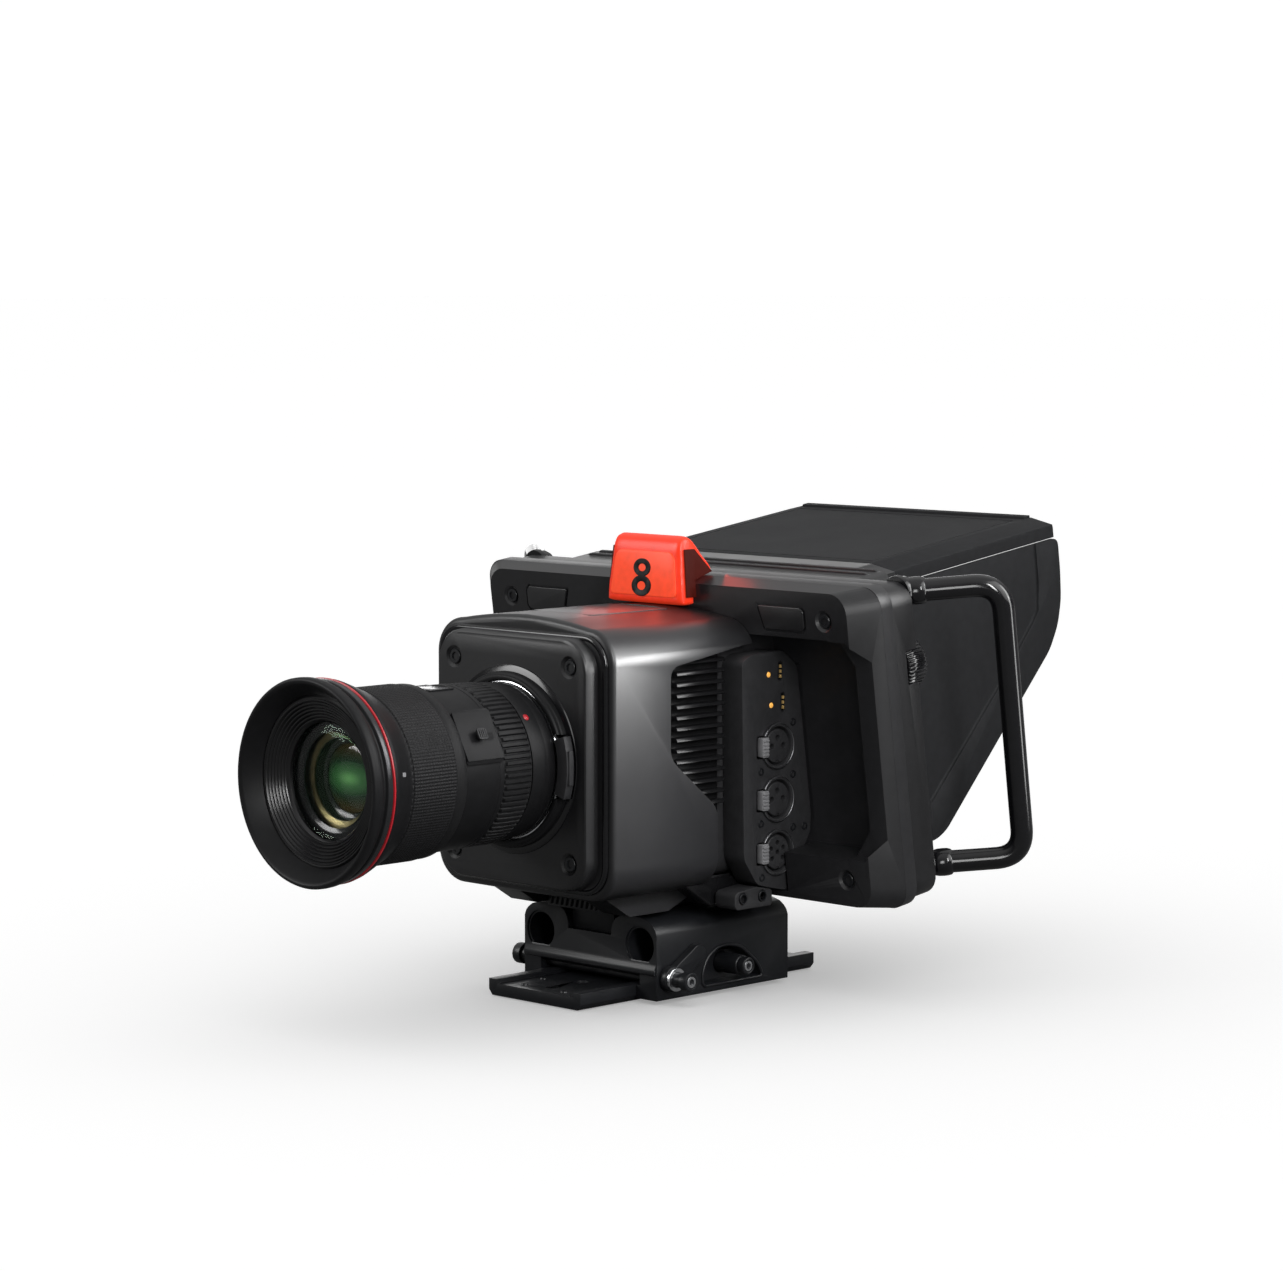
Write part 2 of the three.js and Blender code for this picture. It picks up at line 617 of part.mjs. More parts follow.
function handle() {
  const path = new THREE.CurvePath();
  const inner = HANDLE_REACH - HANDLE_BEND;
  const line = (a, b) => path.add(new THREE.LineCurve3(a, b));
  const bend = (a, b, c) => path.add(new THREE.QuadraticBezierCurve3(a, b, c));
  line(handlePoint(6.6, HANDLE_TOP), handlePoint(inner, HANDLE_TOP));
  const upper = handlePoint(HANDLE_REACH, HANDLE_TOP - HANDLE_BEND);
  const lower = handlePoint(HANDLE_REACH, HANDLE_BOTTOM + HANDLE_BEND);
  bend(handlePoint(inner, HANDLE_TOP), handlePoint(HANDLE_REACH, HANDLE_TOP), upper);
  line(upper, lower);
  bend(lower, handlePoint(HANDLE_REACH, HANDLE_BOTTOM), handlePoint(inner, HANDLE_BOTTOM));
  line(handlePoint(inner, HANDLE_BOTTOM), handlePoint(6.6, HANDLE_BOTTOM));
  const section = new THREE.Shape();
  section.absarc(0, 0, HANDLE_R, 0, 2 * Math.PI);
  const geometry = new THREE.ExtrudeGeometry(section, { steps: 32, curveSegments: 5, extrudePath: path });
  const feet = [HANDLE_TOP, HANDLE_BOTTOM].map((v) => rod('y', 6.6, BAND_REAR + GAP, 37, 108.6, v));
  return union(solid(geometry), ...feet);
}

function hoodTop() {
  const skirt = 79.7;
  const roof = prism('y', [
    [-skirt, 6.4], [-skirt, 8.6], [-68, 11.2], [68, 11.2], [skirt, 8.6], [skirt, 6.4], [67.8, 9], [-67.8, 9],
  ], BROW_REAR + 0.4, FLAP_REAR);
  const edge = box(skirt - 1.8, skirt, TOP_FLAP_W, FLAP_REAR, 4, 7.4);
  const barrel = rod('x', 2.3, 40, 60, TOP_FLAP_W, TOP_FLAP_V, 16);
  const knuckle = union(barrel, box(40, 60, TOP_FLAP_W - 1.6, TOP_FLAP_W + 4, TOP_FLAP_V, 9.6));
  const flap = union(roof, edge, mirrored(edge), knuckle, mirrored(knuckle));
  return flap.subtract(rod('x', 1.5, -70, 70, TOP_FLAP_W, TOP_FLAP_V, 12));
}

function hoodSide(hingeW) {
  const shape = new THREE.Shape([
    [hingeW, -112], [72, -112], [79, -109.5], [158.5, -46], [165.4, -36], [169, -25], [FLAP_REAR, -12],
    [FLAP_REAR, 2.8], [hingeW, 2.8],
  ].map(toVector));
  const panel = prism('x', shape, FLAP_X - 0.8, FLAP_X + 1);
  return union(panel, rod('z', 1.5, -112, 2.8, FLAP_X, hingeW, 10));
}

function addHousing() {
  add('housing_front', housingFront(), 'body', housing);
  add('housing_rear', housingRear(), 'matte', housing);
  const pad = [[57.5, 5], [60.5, -5], [81.5, -5], [83, -3.5], [83, 3.5], [81.5, 5]];
  const padSolid = prism('y', pad, -1.3, -GAP);
  add('pad_right', padSolid, 'rubber', housing);
  add('pad_left', mirrored(padSolid), 'rubber', housing);
  add('knob_right', knob(1), 'rubber', housing);
  add('knob_left', knob(-1), 'rubber', housing);
  add('handle_right', handle(), 'tube', housing);
  add('handle_left', mirrored(handle()), 'tube', housing);
  add('screen', box(-79, 79, 31.2, SCREEN_REAR, -106, -4), 'screen', housing);
  add('function_button_1', rod('y', 4.2, BAND_REAR + 1.1, 33.4, 97.5, -52), 'rubber', housing);
  add('function_button_2', rod('y', 4.2, BAND_REAR + 1.1, 33.4, 97.5, -66), 'rubber', housing);
  add('hood_top', hoodTop(), 'matte', housing);
  add('hood_right', hoodSide(RIGHT_FLAP_W), 'matte', housing);
  add('hood_left', mirrored(hoodSide(LEFT_FLAP_W)), 'matte', housing);
  add('hood_hinge_pin', rod('x', 1.1, -68, 68, TOP_FLAP_W, TOP_FLAP_V, 10), 'silver', housing);
}

// ---- tally lamp ----
function tallyHalfWidth(z) {
  return 23.2 - 0.11 * (z - 164);
}

// Widens a prism that runs along x so that its sides follow the lamp's taper.
function followTaper(geometry, outwards) {
  const p = geometry.attributes.position;
  for (let i = 0; i < p.count; i += 1) {
    p.setX(i, Math.sign(p.getX(i)) * (Math.abs(p.getX(i)) + tallyHalfWidth(p.getZ(i)) + outwards));
  }
  return solid(geometry);
}

function tallyBody() {
  const outline = [
    [-7, 164.4], [2.1, 164.4], [2.1, 174], [12.3, 177.1], [15, 177.5], [14.7, 179.2], [3.4, 192.4],
    [-0.6, 194.4], [-4, 192.6], [-5.4, 189],
  ];
  return followTaper(prismGeometry('x', outline, -0.001, 0.001), 0);
}

function tallySide() {
  const outline = [[-4.4, 168], [1.6, 168], [1.6, 175.2], [12.4, 178.4], [2.6, 188.4], [-3.6, 188.4]];
  return followTaper(prismGeometry('x', outline, 0.001, 0.7), GAP);
}

function addTally() {
  add('tally_body', tallyBody(), 'tally');
  add('tally_side_right', tallySide(), 'smoke');
  add('tally_side_left', mirrored(tallySide()), 'smoke');
}

addBase();
addBody();
addLens();
addConnectors();
addHousing();
addTally();

export default rig;
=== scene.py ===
import json
import bmesh
import bpy
from math import atan2, cos, pi, radians, sin
from mathutils import Matrix, Vector


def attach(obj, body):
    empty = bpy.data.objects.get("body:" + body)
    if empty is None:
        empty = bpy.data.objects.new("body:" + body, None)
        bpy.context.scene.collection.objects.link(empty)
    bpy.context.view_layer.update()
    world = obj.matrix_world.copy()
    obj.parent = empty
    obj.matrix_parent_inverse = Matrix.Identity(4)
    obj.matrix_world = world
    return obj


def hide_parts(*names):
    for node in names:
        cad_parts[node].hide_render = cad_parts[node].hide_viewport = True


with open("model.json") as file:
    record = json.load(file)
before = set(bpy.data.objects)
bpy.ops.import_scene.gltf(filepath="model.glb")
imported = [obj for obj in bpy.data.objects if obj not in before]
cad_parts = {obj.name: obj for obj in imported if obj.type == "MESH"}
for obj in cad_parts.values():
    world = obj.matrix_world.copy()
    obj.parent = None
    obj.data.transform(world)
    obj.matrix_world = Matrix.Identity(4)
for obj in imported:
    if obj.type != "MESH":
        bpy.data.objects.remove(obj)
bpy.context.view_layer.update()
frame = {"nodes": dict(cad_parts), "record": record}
scene = bpy.context.scene
RECORD = frame["record"]
SLOT_OF = {part["node"]: part["material_slot"] for part in RECORD["subparts"]}
BODY_OF = {node: body for body, nodes in RECORD["behaviour"]["bodies"].items() for node in nodes}

# Lengths below are millimetres in the row frame, and become metres when a mesh is made.
MM = 0.001
SIDES = ((1, "right"), (-1, "left"))
CROWN_STEPS = 24
LENS_Z = 104.2
PORT_FACE, PORT_BACK = 58, 46.4
SOCKET_Y = 14.9
JACK_Z = 43
ROD_X, ROD_Z = 30, 23.7
# Places in y and z of two axes that run across, and in the housing's y and z of the roof's hinge.
CLAMP_AXIS, RELEASE_AXIS = (-32.5, 10.4), (7, 11.8)
ROOF_HINGE = (64, 6)
HANDLE_ANGLE = radians(50)
HANDLE_TOP, HANDLE_FOOT = 7, -110
HOUSING_TILT = radians(7.96)
HOUSING_ORIGIN = (0, 4.24, 161.69)
# x runs across, y back from the housing's front face, z up along it.
HOUSING = Matrix.Translation(HOUSING_ORIGIN) @ Matrix.Rotation(HOUSING_TILT, 4, "X")
# Noise per metre in gloss and colour, the depth of the grain, and the rear element's size and the shape of its
# painted glow.
GLOSS_SCALE, COLOUR_SCALE, GRAIN_DEPTH = 28, 260, 0.05
CORE_RADIUS, PAINTED_GLOW_SHAPE = 15, (0.45, 1, 1)
WHITE = (1, 1, 1, 1)
TALLY_RED = (1, 0.05, 0.02)
WALL_LIGHT = 0.12
CEILING_LIGHT = 1.1
BACKDROP_LIGHT = 1.01
FLOOR_GLOW = 0.3
# What a lamp lights. Each leaves the floor to the room's own light, so it has one soft shadow under the object.
# The left softbox leaves out the monitor housing's front too. A card lights only the body's shell and front
# plate, only the housing's front, or only the handles and knobs.
FLOOR_UNLIT, FRONT_UNLIT, BODY_LIT, HOUSING_LIT, HANDLE_LIT = (
    bpy.data.collections.new(name)
    for name in ("floor_unlit", "front_unlit", "body_lit", "housing_lit", "handle_lit"))
MATERIALS = {}


def placed(name, data):
    obj = bpy.data.objects.new(name, data)
    scene.collection.objects.link(obj)
    return obj


def leave_out(obj, collection):
    """The lamps whose receivers are this collection don't light the object."""
    collection.objects.link(obj)
    collection.collection_objects[-1].light_linking.link_state = "EXCLUDE"


# ---------------------------------------------------------------- nodes
def feed(tree, node, inputs):
    """Gives a node's inputs their values, or links them to outputs. A node stands for its first output."""
    for key, value in inputs.items():
        if isinstance(value, bpy.types.Node):
            value = value.outputs[0]
        if isinstance(value, bpy.types.NodeSocket):
            tree.links.new(value, node.inputs[key])
        else:
            node.inputs[key].default_value = value
    return node


def add(tree, kind, inputs=None, **settings):
    """A new shader node. settings are its own properties, such as operation."""
    node = tree.nodes.new("ShaderNode" + kind)
    for name, value in settings.items():
        setattr(node, name, value)
    return feed(tree, node, inputs or {})


def by_camera_ray(tree, others, seen, output):
    """The camera sees one shader, and every other ray meets the other."""
    path = add(tree, "LightPath")
    mix = add(tree, "MixShader", {"Fac": path.outputs["Is Camera Ray"], 1: others, 2: seen})
    feed(tree, tree.nodes[output], {"Surface": mix})


def shader_material(name, inputs):
    material = bpy.data.materials.new(name)
    material.use_nodes = True
    tree = material.node_tree
    return material, tree, feed(tree, tree.nodes["Principled BSDF"], inputs)


# ---------------------------------------------------------------- camera, floor and light
def make_camera():
    azimuth = radians(44.795)
    elevation = radians(5.302)
    distance = 1.6453
    target = Vector((0.03857, -0.0467, 0.15575))
    back = Vector((cos(elevation) * sin(azimuth), -cos(elevation) * cos(azimuth),
                   sin(elevation)))
    right = Vector((cos(azimuth), sin(azimuth), 0))
    up = back.cross(right)
    data = bpy.data.cameras.new("camera")
    data.sensor_width = 36
    data.lens = 111.47
    data.clip_end = 100
    camera = placed("camera", data)
    turn = Matrix((right, up, back)).transposed().to_4x4()
    camera.matrix_world = Matrix.Translation(target + back * distance) @ turn
    scene.camera = camera


def softbox(name, place, aim, size, power, spread=180, colour=(1, 1, 1), receivers=FLOOR_UNLIT):
    data = bpy.data.lights.new(name, "AREA")
    data.shape = "RECTANGLE"
    data.size, data.size_y = size
    data.energy = power
    data.color = colour
    data.spread = radians(spread)
    lamp = placed(name, data)
    lamp.location = place
    lamp.rotation_euler = (Vector(aim) - Vector(place)).to_track_quat("-Z", "Y").to_euler()
    lamp.visible_camera = False
    lamp.light_linking.receiver_collection = receivers


def make_world():
    """A bright ceiling that falls off to dim walls, in front of a plain white backdrop."""
    scene.world = bpy.data.worlds.new("studio")
    scene.world.use_nodes = True
    tree = scene.world.node_tree
    place = add(tree, "TexCoord")
    split = add(tree, "SeparateXYZ", {"Vector": place.outputs["Generated"]})
    rise = add(tree, "MapRange", {
        "From Min": 0.1, "From Max": 0.95, "To Min": WALL_LIGHT, "To Max": CEILING_LIGHT,
        "Value": split.outputs["Z"]}, interpolation_type="SMOOTHSTEP")
    room = feed(tree, tree.nodes["Background"], {"Color": WHITE, "Strength": rise})
    backdrop = add(tree, "Background", {"Color": WHITE, "Strength": BACKDROP_LIGHT})
    by_camera_ray(tree, room, backdrop, "World Output")


def make_lights():
    """Broad softboxes, close cards for single parts, and the lit tally's glow on what is near it."""
    scene.view_settings.view_transform = "Standard"
    make_world()
    softbox("right_softbox", (0.72, 0.2, 0.58), (0.05, -0.04, 0.15), (0.8, 0.8), 3.2, spread=110)
    softbox("right_strip", (0.6, 0.46, 0.5), (0.05, -0.02, 0.15), (0.24, 0.42), 0.5, spread=80)
    softbox("front_strip", (1.1, -0.5, 0.6), (0.03, -0.05, 0.13), (0.14, 0.6), 2.4, spread=80)
    softbox("left_softbox", (-0.75, -0.95, 0.62), (0, -0.1, 0.12), (0.5, 0.6), 2.6, spread=100,
            receivers=FRONT_UNLIT)
    softbox("rear_low", (-0.85, 0.8, 0.3), (0, 0, 0.16), (0.9, 0.28), 0.5, spread=100)
    softbox("body_card", (0.22, 0.035, 0.172), (0.055, -0.06, 0.135), (0.14, 0.03), 1.3, receivers=BODY_LIT)
    softbox("housing_card", (0.9, -0.72, 0.3), (0.08, 0, 0.12), (0.3, 0.5), 6, receivers=HOUSING_LIT)
    for name, place, size, power in (("handle_card_front", (0.75, -0.8, 0.12), (0.2, 0.5), 4),
                                     ("handle_card_side", (0.55, 0.36, 0.12), (0.12, 0.4), 1.5)):
        softbox(name, place, (0.14, 0.06, 0.12), size, power, receivers=HANDLE_LIT)
    softbox("tally_glow_front", (0.008, -0.013, 0.181), (0.05, -0.1, 0.15), (0.06, 0.03), 0.007, colour=TALLY_RED)
    softbox("tally_glow_side", (0.034, 0.008, 0.188), (0.1, 0.05, 0.17), (0.03, 0.02), 0.005, colour=TALLY_RED)


def make_floor():
    """A plain white floor, dimmer in reflections, as under a studio's black cards."""
    bpy.ops.mesh.primitive_plane_add(size=60, location=(0, 0, -0.0004))
    floor = bpy.context.object
    floor.name = "floor"
    material, tree, white = shader_material("floor_white", {
        "Base Color": (0.9, 0.9, 0.9, 1), "Roughness": 0.9, "Specular IOR Level": 0.1, "Emission Color": WHITE,
        "Emission Strength": FLOOR_GLOW})
    grey = add(tree, "BsdfDiffuse", {"Color": (0.34, 0.34, 0.34, 1)})
    by_camera_ray(tree, grey, white, "Material Output")
    floor.data.materials.append(material)
    leave_out(floor, FLOOR_UNLIT)
    leave_out(floor, FRONT_UNLIT)


# ---------------------------------------------------------------- materials
def surface(name, colour, roughness, metallic=0.0, grain=0.0, grain_size=0.4, specular=0.5, coat=0.0,
            mottle=0.12, uneven=0.05, emission=None, strength=0.0, alpha=1.0):
    """A shader with fine grain, slightly uneven gloss and slightly uneven colour. grain_size is in mm."""
    material, tree, shader = shader_material(name, {
        "Metallic": metallic, "Specular IOR Level": specular, "Coat Weight": coat, "Coat Roughness": 0.12,
        "Alpha": alpha})
    place = add(tree, "TexCoord")

    def noise(scale, detail):
        return add(tree, "TexNoise", {"Scale": scale, "Detail": detail, "Vector": place.outputs["Object"]})

    gloss = add(tree, "MapRange", {
        "To Min": max(0.02, roughness - uneven), "To Max": min(1, roughness + uneven),
        "Value": noise(GLOSS_SCALE, 3)})
    shades = add(tree, "ValToRGB", {"Fac": noise(COLOUR_SCALE, 2)})
    for stop, position, share in zip(shades.color_ramp.elements, (0.3, 0.7), (1 - mottle, 1 + mottle)):
        stop.position = position
        stop.color = [min(1, c * share) for c in colour] + [1]
    feed(tree, shader, {"Roughness": gloss, "Base Color": shades})
    if grain > 0:
        height = noise(1 / (grain_size * MM), 2)
        bump = add(tree, "Bump", {"Strength": grain, "Distance": GRAIN_DEPTH * MM, "Height": height})
        feed(tree, shader, {"Normal": bump})
    if emission:
        feed(tree, shader, {"Emission Color": (*emission, 1), "Emission Strength": strength})
    MATERIALS[name] = material


def coated(name, tint, share):
    """A thin coated pane: share is how much of it mirrors, and the rest shows what is behind."""
    surface(name, tint, 0.03, metallic=1.0, mottle=0.03, uneven=0.01, alpha=share)


def make_painted_glow_material():
    """Painted glow and reflection: the rear element glows green in the middle and faintly amber at the edge, dark
    between, in an ellipse about the axis that is wider than it is high. It is no lamp; the glow stands in for
    coloured reflections in its coatings."""
    surface("coated_core", (0.01, 0.03, 0.015), 0.08, specular=0.3)
    tree = MATERIALS["coated_core"].node_tree
    place = add(tree, "TexCoord")
    split = add(tree, "SeparateXYZ", {"Vector": place.outputs["Object"]})
    lift = add(tree, "Math", {0: split.outputs["Z"], 1: LENS_Z * MM}, operation="SUBTRACT")
    across = add(tree, "CombineXYZ", {"X": split.outputs["X"], "Y": lift})
    wide = add(tree, "VectorMath", {0: across, 1: PAINTED_GLOW_SHAPE}, operation="MULTIPLY")
    length = add(tree, "VectorMath", {0: wide}, operation="LENGTH")
    spread = add(tree, "MapRange", {"From Max": CORE_RADIUS * MM, "Value": length.outputs["Value"]})
    ramp = add(tree, "ValToRGB", {"Fac": spread})
    stops = [(0.0, (0.07, 0.2, 0.06)), (0.22, (0.02, 0.07, 0.022)), (0.5, (0.004, 0.012, 0.006)),
             (0.86, (0.02, 0.012, 0.004)), (1.0, (0.006, 0.004, 0.002))]
    for i, (position, colour) in enumerate(stops):
        stop = ramp.color_ramp.elements[i] if i < 2 else ramp.color_ramp.elements.new(position)
        stop.position = position
        stop.color = (*colour, 1)
    feed(tree, tree.nodes["Principled BSDF"], {
        "Base Color": ramp, "Emission Color": ramp, "Emission Strength": 0.5})


def make_materials():
    surface("satin_body", (0.005, 0.005, 0.0056), 0.38, grain=0.12, specular=0.4)
    surface("panel_plastic", (0.018, 0.018, 0.0192), 0.5, grain=0.4, grain_size=0.5, specular=0.25)
    surface("housing_satin", (0.008, 0.008, 0.0088), 0.36, grain=0.3, specular=0.42)
    surface("hood_plastic", (0.0085, 0.0087, 0.0095), 0.68, grain=0.6, grain_size=0.6, specular=0.12)
    surface("anodised", (0.006, 0.0064, 0.0075), 0.36, grain=0.3, specular=0.3)
    surface("bright_steel", (0.72, 0.73, 0.75), 0.22, metallic=1.0, grain=0.1)
    surface("gloss_tube", (0.003, 0.003, 0.0035), 0.14, specular=0.35)
    surface("grip_rubber", (0.007, 0.007, 0.0075), 0.55, grain=0.5, specular=0.15)
    surface("soft_pad", (0.012, 0.012, 0.012), 0.55, grain=0.3, specular=0.3)
    surface("lens_barrel", (0.0055, 0.0055, 0.006), 0.46, grain=0.35, specular=0.13)
    surface("accent_red", (0.3, 0.008, 0.014), 0.34, specular=0.35)
    surface("tally_lens", (0.55, 0.022, 0.008), 0.3, specular=0.25, emission=(1.0, 0.058, 0.018), strength=0.3)
    surface("tally_smoke", (0.02, 0.003, 0.002), 0.6, specular=0.06, emission=(0.5, 0.03, 0.015), strength=0.07)
    coated("coated_glass", (0.7, 0.9, 0.75), 0.008)
    coated("coated_inner", (0.4, 0.8, 0.4), 0.013)
    make_painted_glow_material()
    surface("barrel_gloss", (0.03, 0.03, 0.032), 0.24, metallic=0.7, grain=0.1)
    surface("ridge_gloss", (0.004, 0.004, 0.0045), 0.28, specular=0.35)
    # Painted reflection: this bronze on every other inner shade stands in for gold-brown reflections in the lens
    # coatings.
    surface("bronze", (0.1, 0.085, 0.04), 0.3, metallic=1.0)
    surface("hatch_satin", (0.03, 0.03, 0.032), 0.34, specular=0.45)
    surface("fin_gloss", (0.005, 0.005, 0.0055), 0.26, specular=0.5)
    # Gold contacts with a painted glow: the emission stands in for glints, as the contacts are no lamp.
    surface("gold", (0.5, 0.33, 0.12), 0.35, metallic=0.6, emission=(0.5, 0.33, 0.12), strength=0.12)
    surface("amber", (0.8, 0.4, 0.08), 0.3, emission=(1, 0.45, 0.08), strength=0.35)
    surface("tally_face", (0.58, 0.04, 0.012), 0.38, specular=0.25, emission=(1.0, 0.085, 0.025), strength=0.36)
    surface("figure_ink", (0.004, 0.004, 0.004), 0.5, specular=0.2)
    surface("screen_glass", (0.004, 0.0045, 0.005), 0.08, coat=0.5, uneven=0.02)
    surface("window_glass", (0.09, 0.09, 0.095), 0.2, coat=0.6)
    surface("circuit", (0.01, 0.07, 0.03), 0.5, grain=0.2)
    surface("tab_plastic", (0.15, 0.15, 0.155), 0.5, grain=0.3, specular=0.3)
    surface("ring_satin", (0.22, 0.22, 0.23), 0.32, metallic=1.0)


# ---------------------------------------------------------------- mesh tools
def new_object(name, verts, faces, matrix=None):
    """verts are millimetres. matrix places them in the row frame, such as HOUSING."""
    points = [Vector(v) for v in verts]
    if matrix is not None:
        points = [matrix @ p for p in points]
    mesh = bpy.data.meshes.new(name)
    mesh.from_pydata([p * MM for p in points], [], faces)
    obj = placed(name, mesh)
    tidy(obj)
    return obj


def tidy(obj, flatten=False):
    work = bmesh.new()
    work.from_mesh(obj.data)
    bmesh.ops.remove_doubles(work, verts=work.verts, dist=0.002 * MM)
    if flatten:
        bmesh.ops.dissolve_limit(work, angle_limit=radians(1), verts=work.verts, edges=work.edges)
    bmesh.ops.recalc_face_normals(work, faces=work.faces)
    work.to_mesh(obj.data)
    work.free()


def evaluated_mesh(obj):
    return bpy.data.meshes.new_from_object(obj.evaluated_get(bpy.context.evaluated_depsgraph_get()))


def baked(obj):
    """Applies the object's modifiers."""
    mesh = evaluated_mesh(obj)
    obj.modifiers.clear()
    obj.data = mesh
    return obj


def combine(obj, other, operation):
    change = obj.modifiers.new("change", "BOOLEAN")
    change.operation = operation
    change.solver = "EXACT"
    change.object = other
    baked(obj)
    bpy.data.objects.remove(other)
    return obj


def softened(obj, width, segments=3, angle=30):
    """Rounds the sharp edges."""
    edge = obj.modifiers.new("edge", "BEVEL")
    edge.width = width * MM
    edge.segments = segments
    edge.limit_method = "ANGLE"
    edge.angle_limit = radians(angle)
    edge.use_clamp_overlap = True
    edge.miter_outer = "MITER_ARC"
    return baked(obj)


def cut(obj, *others):
    for other in others:
        combine(obj, other, "DIFFERENCE")
    return obj


def join(obj, *others):
    for other in others:
        combine(obj, other, "UNION")
    return obj


def finish(obj, slot, body="rig", replaces=(), bevel=0.0, segments=3, angle=30, look=None, sharp=38):
    """Gives a piece its edges, shading and body, and the slot's material unless another look is named."""
    obj.data.materials.clear()
    obj.data.materials.append(MATERIALS[look or slot])
    if bevel > 0:
        softened(obj, bevel, segments, angle)
    obj.data.shade_smooth()
    obj.data.set_sharp_from_angle(angle=radians(sharp))
    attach(obj, body)
    if replaces:
        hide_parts(*replaces)
    return obj


def stand_for(obj, **looks):
    """Finishes a piece that stands for the CAD node it is named after, as NODE_fine."""
    node = obj.name.removesuffix("_fine")
    return finish(obj, SLOT_OF[node], BODY_OF[node], replaces=[node], **looks)


def copied(node, flatten=True):
    """The CAD node's own shape, with its flat faces joined up unless it is to be cut first."""
    mesh = frame["nodes"][node].data.copy()
    obj = placed(node + "_fine", mesh)
    for name in ("custom_normal", "sharp_edge", "sharp_face"):
        if name in mesh.attributes:
            mesh.attributes.remove(mesh.attributes[name])
    tidy(obj, flatten)
    return obj


def rounded_rect(x0, x1, z0, z1, radius, steps=8, crown=0.0):
    """Outline, anticlockwise. crown lifts the middle of the top edge."""
    points = []
    corners = [(x1 - radius, z0 + radius, -90), (x1 - radius, z1 - radius, 0), (x0 + radius, z1 - radius, 90),
               (x0 + radius, z0 + radius, 180)]
    for number, (x, z, start) in enumerate(corners):
        for i in range(steps + 1):
            a = radians(start + 90 * i / steps)
            points.append((x + radius * cos(a), z + radius * sin(a)))
        if number == 1 and crown > 0:
            for i in range(1, CROWN_STEPS):
                t = i / CROWN_STEPS
                points.append((x1 - radius + (x0 - x1 + 2 * radius) * t, z1 + 4 * crown * t * (1 - t)))
    return points


def loft(name, rings, matrix=None):
    """Closed solid through rings of equal length, each a list of 3-D points, with flat ends."""
    count = len(rings[0])
    verts = [p for ring in rings for p in ring]
    faces = [tuple(range(count))[::-1], tuple(range(len(verts) - count, len(verts)))]
    for k in range(len(rings) - 1):
        for i in range(count):
            j = (i + 1) % count
            faces.append((k * count + i, k * count + j, (k + 1) * count + j, (k + 1) * count + i))
    return new_object(name, verts, faces, matrix)


def prism(name, axis, outline, lo, hi, matrix=None):
    """outline is in the other two axes, in x, y, z order."""
    place = {"x": lambda a, b, c: (c, a, b), "y": lambda a, b, c: (a, c, b), "z": lambda a, b, c: (a, b, c)}
    rings = [[place[axis](a, b, c) for a, b in outline] for c in (lo, hi)]
    return loft(name, rings, matrix)


def block(name, x, y, z, matrix=None):
    return prism(name, "z", [(x[0], y[0]), (x[1], y[0]), (x[1], y[1]), (x[0], y[1])], z[0], z[1], matrix)


def rod(name, axis, radius, lo, hi, a, b, sides=48, matrix=None):
    steps = [2 * pi * i / sides for i in range(sides)]
    circle = [(a + radius * cos(t), b + radius * sin(t)) for t in steps]
    return prism(name, axis, circle, lo, hi, matrix)


def ring_faces(rings, count):
    """Faces between rings of count points each, the last ring joined to the first."""
    faces = []
    for i in range(rings):
        n = ((i + 1) % rings) * count
        for j in range(count):
            k = (j + 1) % count
            faces.append((i * count + j, i * count + k, n + k, n + j))
    return faces


def turned(name, profile, segments=160, ripple=None, centre=(0, LENS_Z), matrix=None):
    """A closed profile (radius, y) turned about a line along Y. ripple changes a radius by its place."""
    verts = []
    for i in range(segments):
        a = 2 * pi * i / segments
        for j, (r, y) in enumerate(profile):
            reach = r - (ripple(i, j) if ripple else 0)
            verts.append((centre[0] + reach * cos(a), y, centre[1] + reach * sin(a)))
    return new_object(name, verts, ring_faces(segments, len(profile)), matrix)


def facing(place, normal):
    """A matrix whose local Y axis points into the surface at a place, for pieces turned about Y."""
    turn = (-Vector(normal)).to_track_quat("Y", "Z").to_matrix().to_4x4()
    return Matrix.Translation(place) @ turn


def round_piece(name, profile, matrix, segments=48, ripple=None):
    return turned(name, profile, segments, ripple, centre=(0, 0), matrix=matrix)


def tube(name, points, radius, closed=False, sides=6, matrix=None):
    """A round bar through points, as a closed mesh."""
    curve = bpy.data.curves.new(name, "CURVE")
    curve.dimensions = "3D"
    curve.bevel_depth = radius * MM
    curve.bevel_resolution = sides
    curve.use_fill_caps = True
    spline = curve.splines.new("POLY")
    spline.points.add(len(points) - 1)
    for target, point in zip(spline.points, points):
        place = matrix @ Vector(point) if matrix is not None else Vector(point)
        target.co = (*(place * MM), 1)
    spline.use_cyclic_u = closed
    holder = placed(name, curve)
    mesh = evaluated_mesh(holder)
    bpy.data.objects.remove(holder)
    obj = placed(name, mesh)
    tidy(obj)
    return obj


def bend(start, corner, end, steps, first=0):
    """Points on a curve from start to end that turns towards the corner."""
    times = [k / steps for k in range(first, steps + 1)]
    return [(1 - t) ** 2 * start + 2 * t * (1 - t) * corner + t * t * end for t in times]


def rounded_path(points, radius, steps=6, closed=False):
    """Rounds the corners of a path."""
    path, count = [], len(points)
    for i, point in enumerate(points):
        here = Vector(point)
        if not closed and i in (0, count - 1):
            path.append(here)
            continue
        before, after = Vector(points[i - 1]), Vector(points[(i + 1) % count])
        reach = min(radius, (before - here).length * 0.45, (after - here).length * 0.45)
        start = here + (before - here).normalized() * reach
        end = here + (after - here).normalized() * reach
        path += bend(start, here, end, steps)
    return path


def rounded_outline(points, radius, steps):
    return [(p.x, p.y) for p in rounded_path(points, radius, steps, closed=True)]


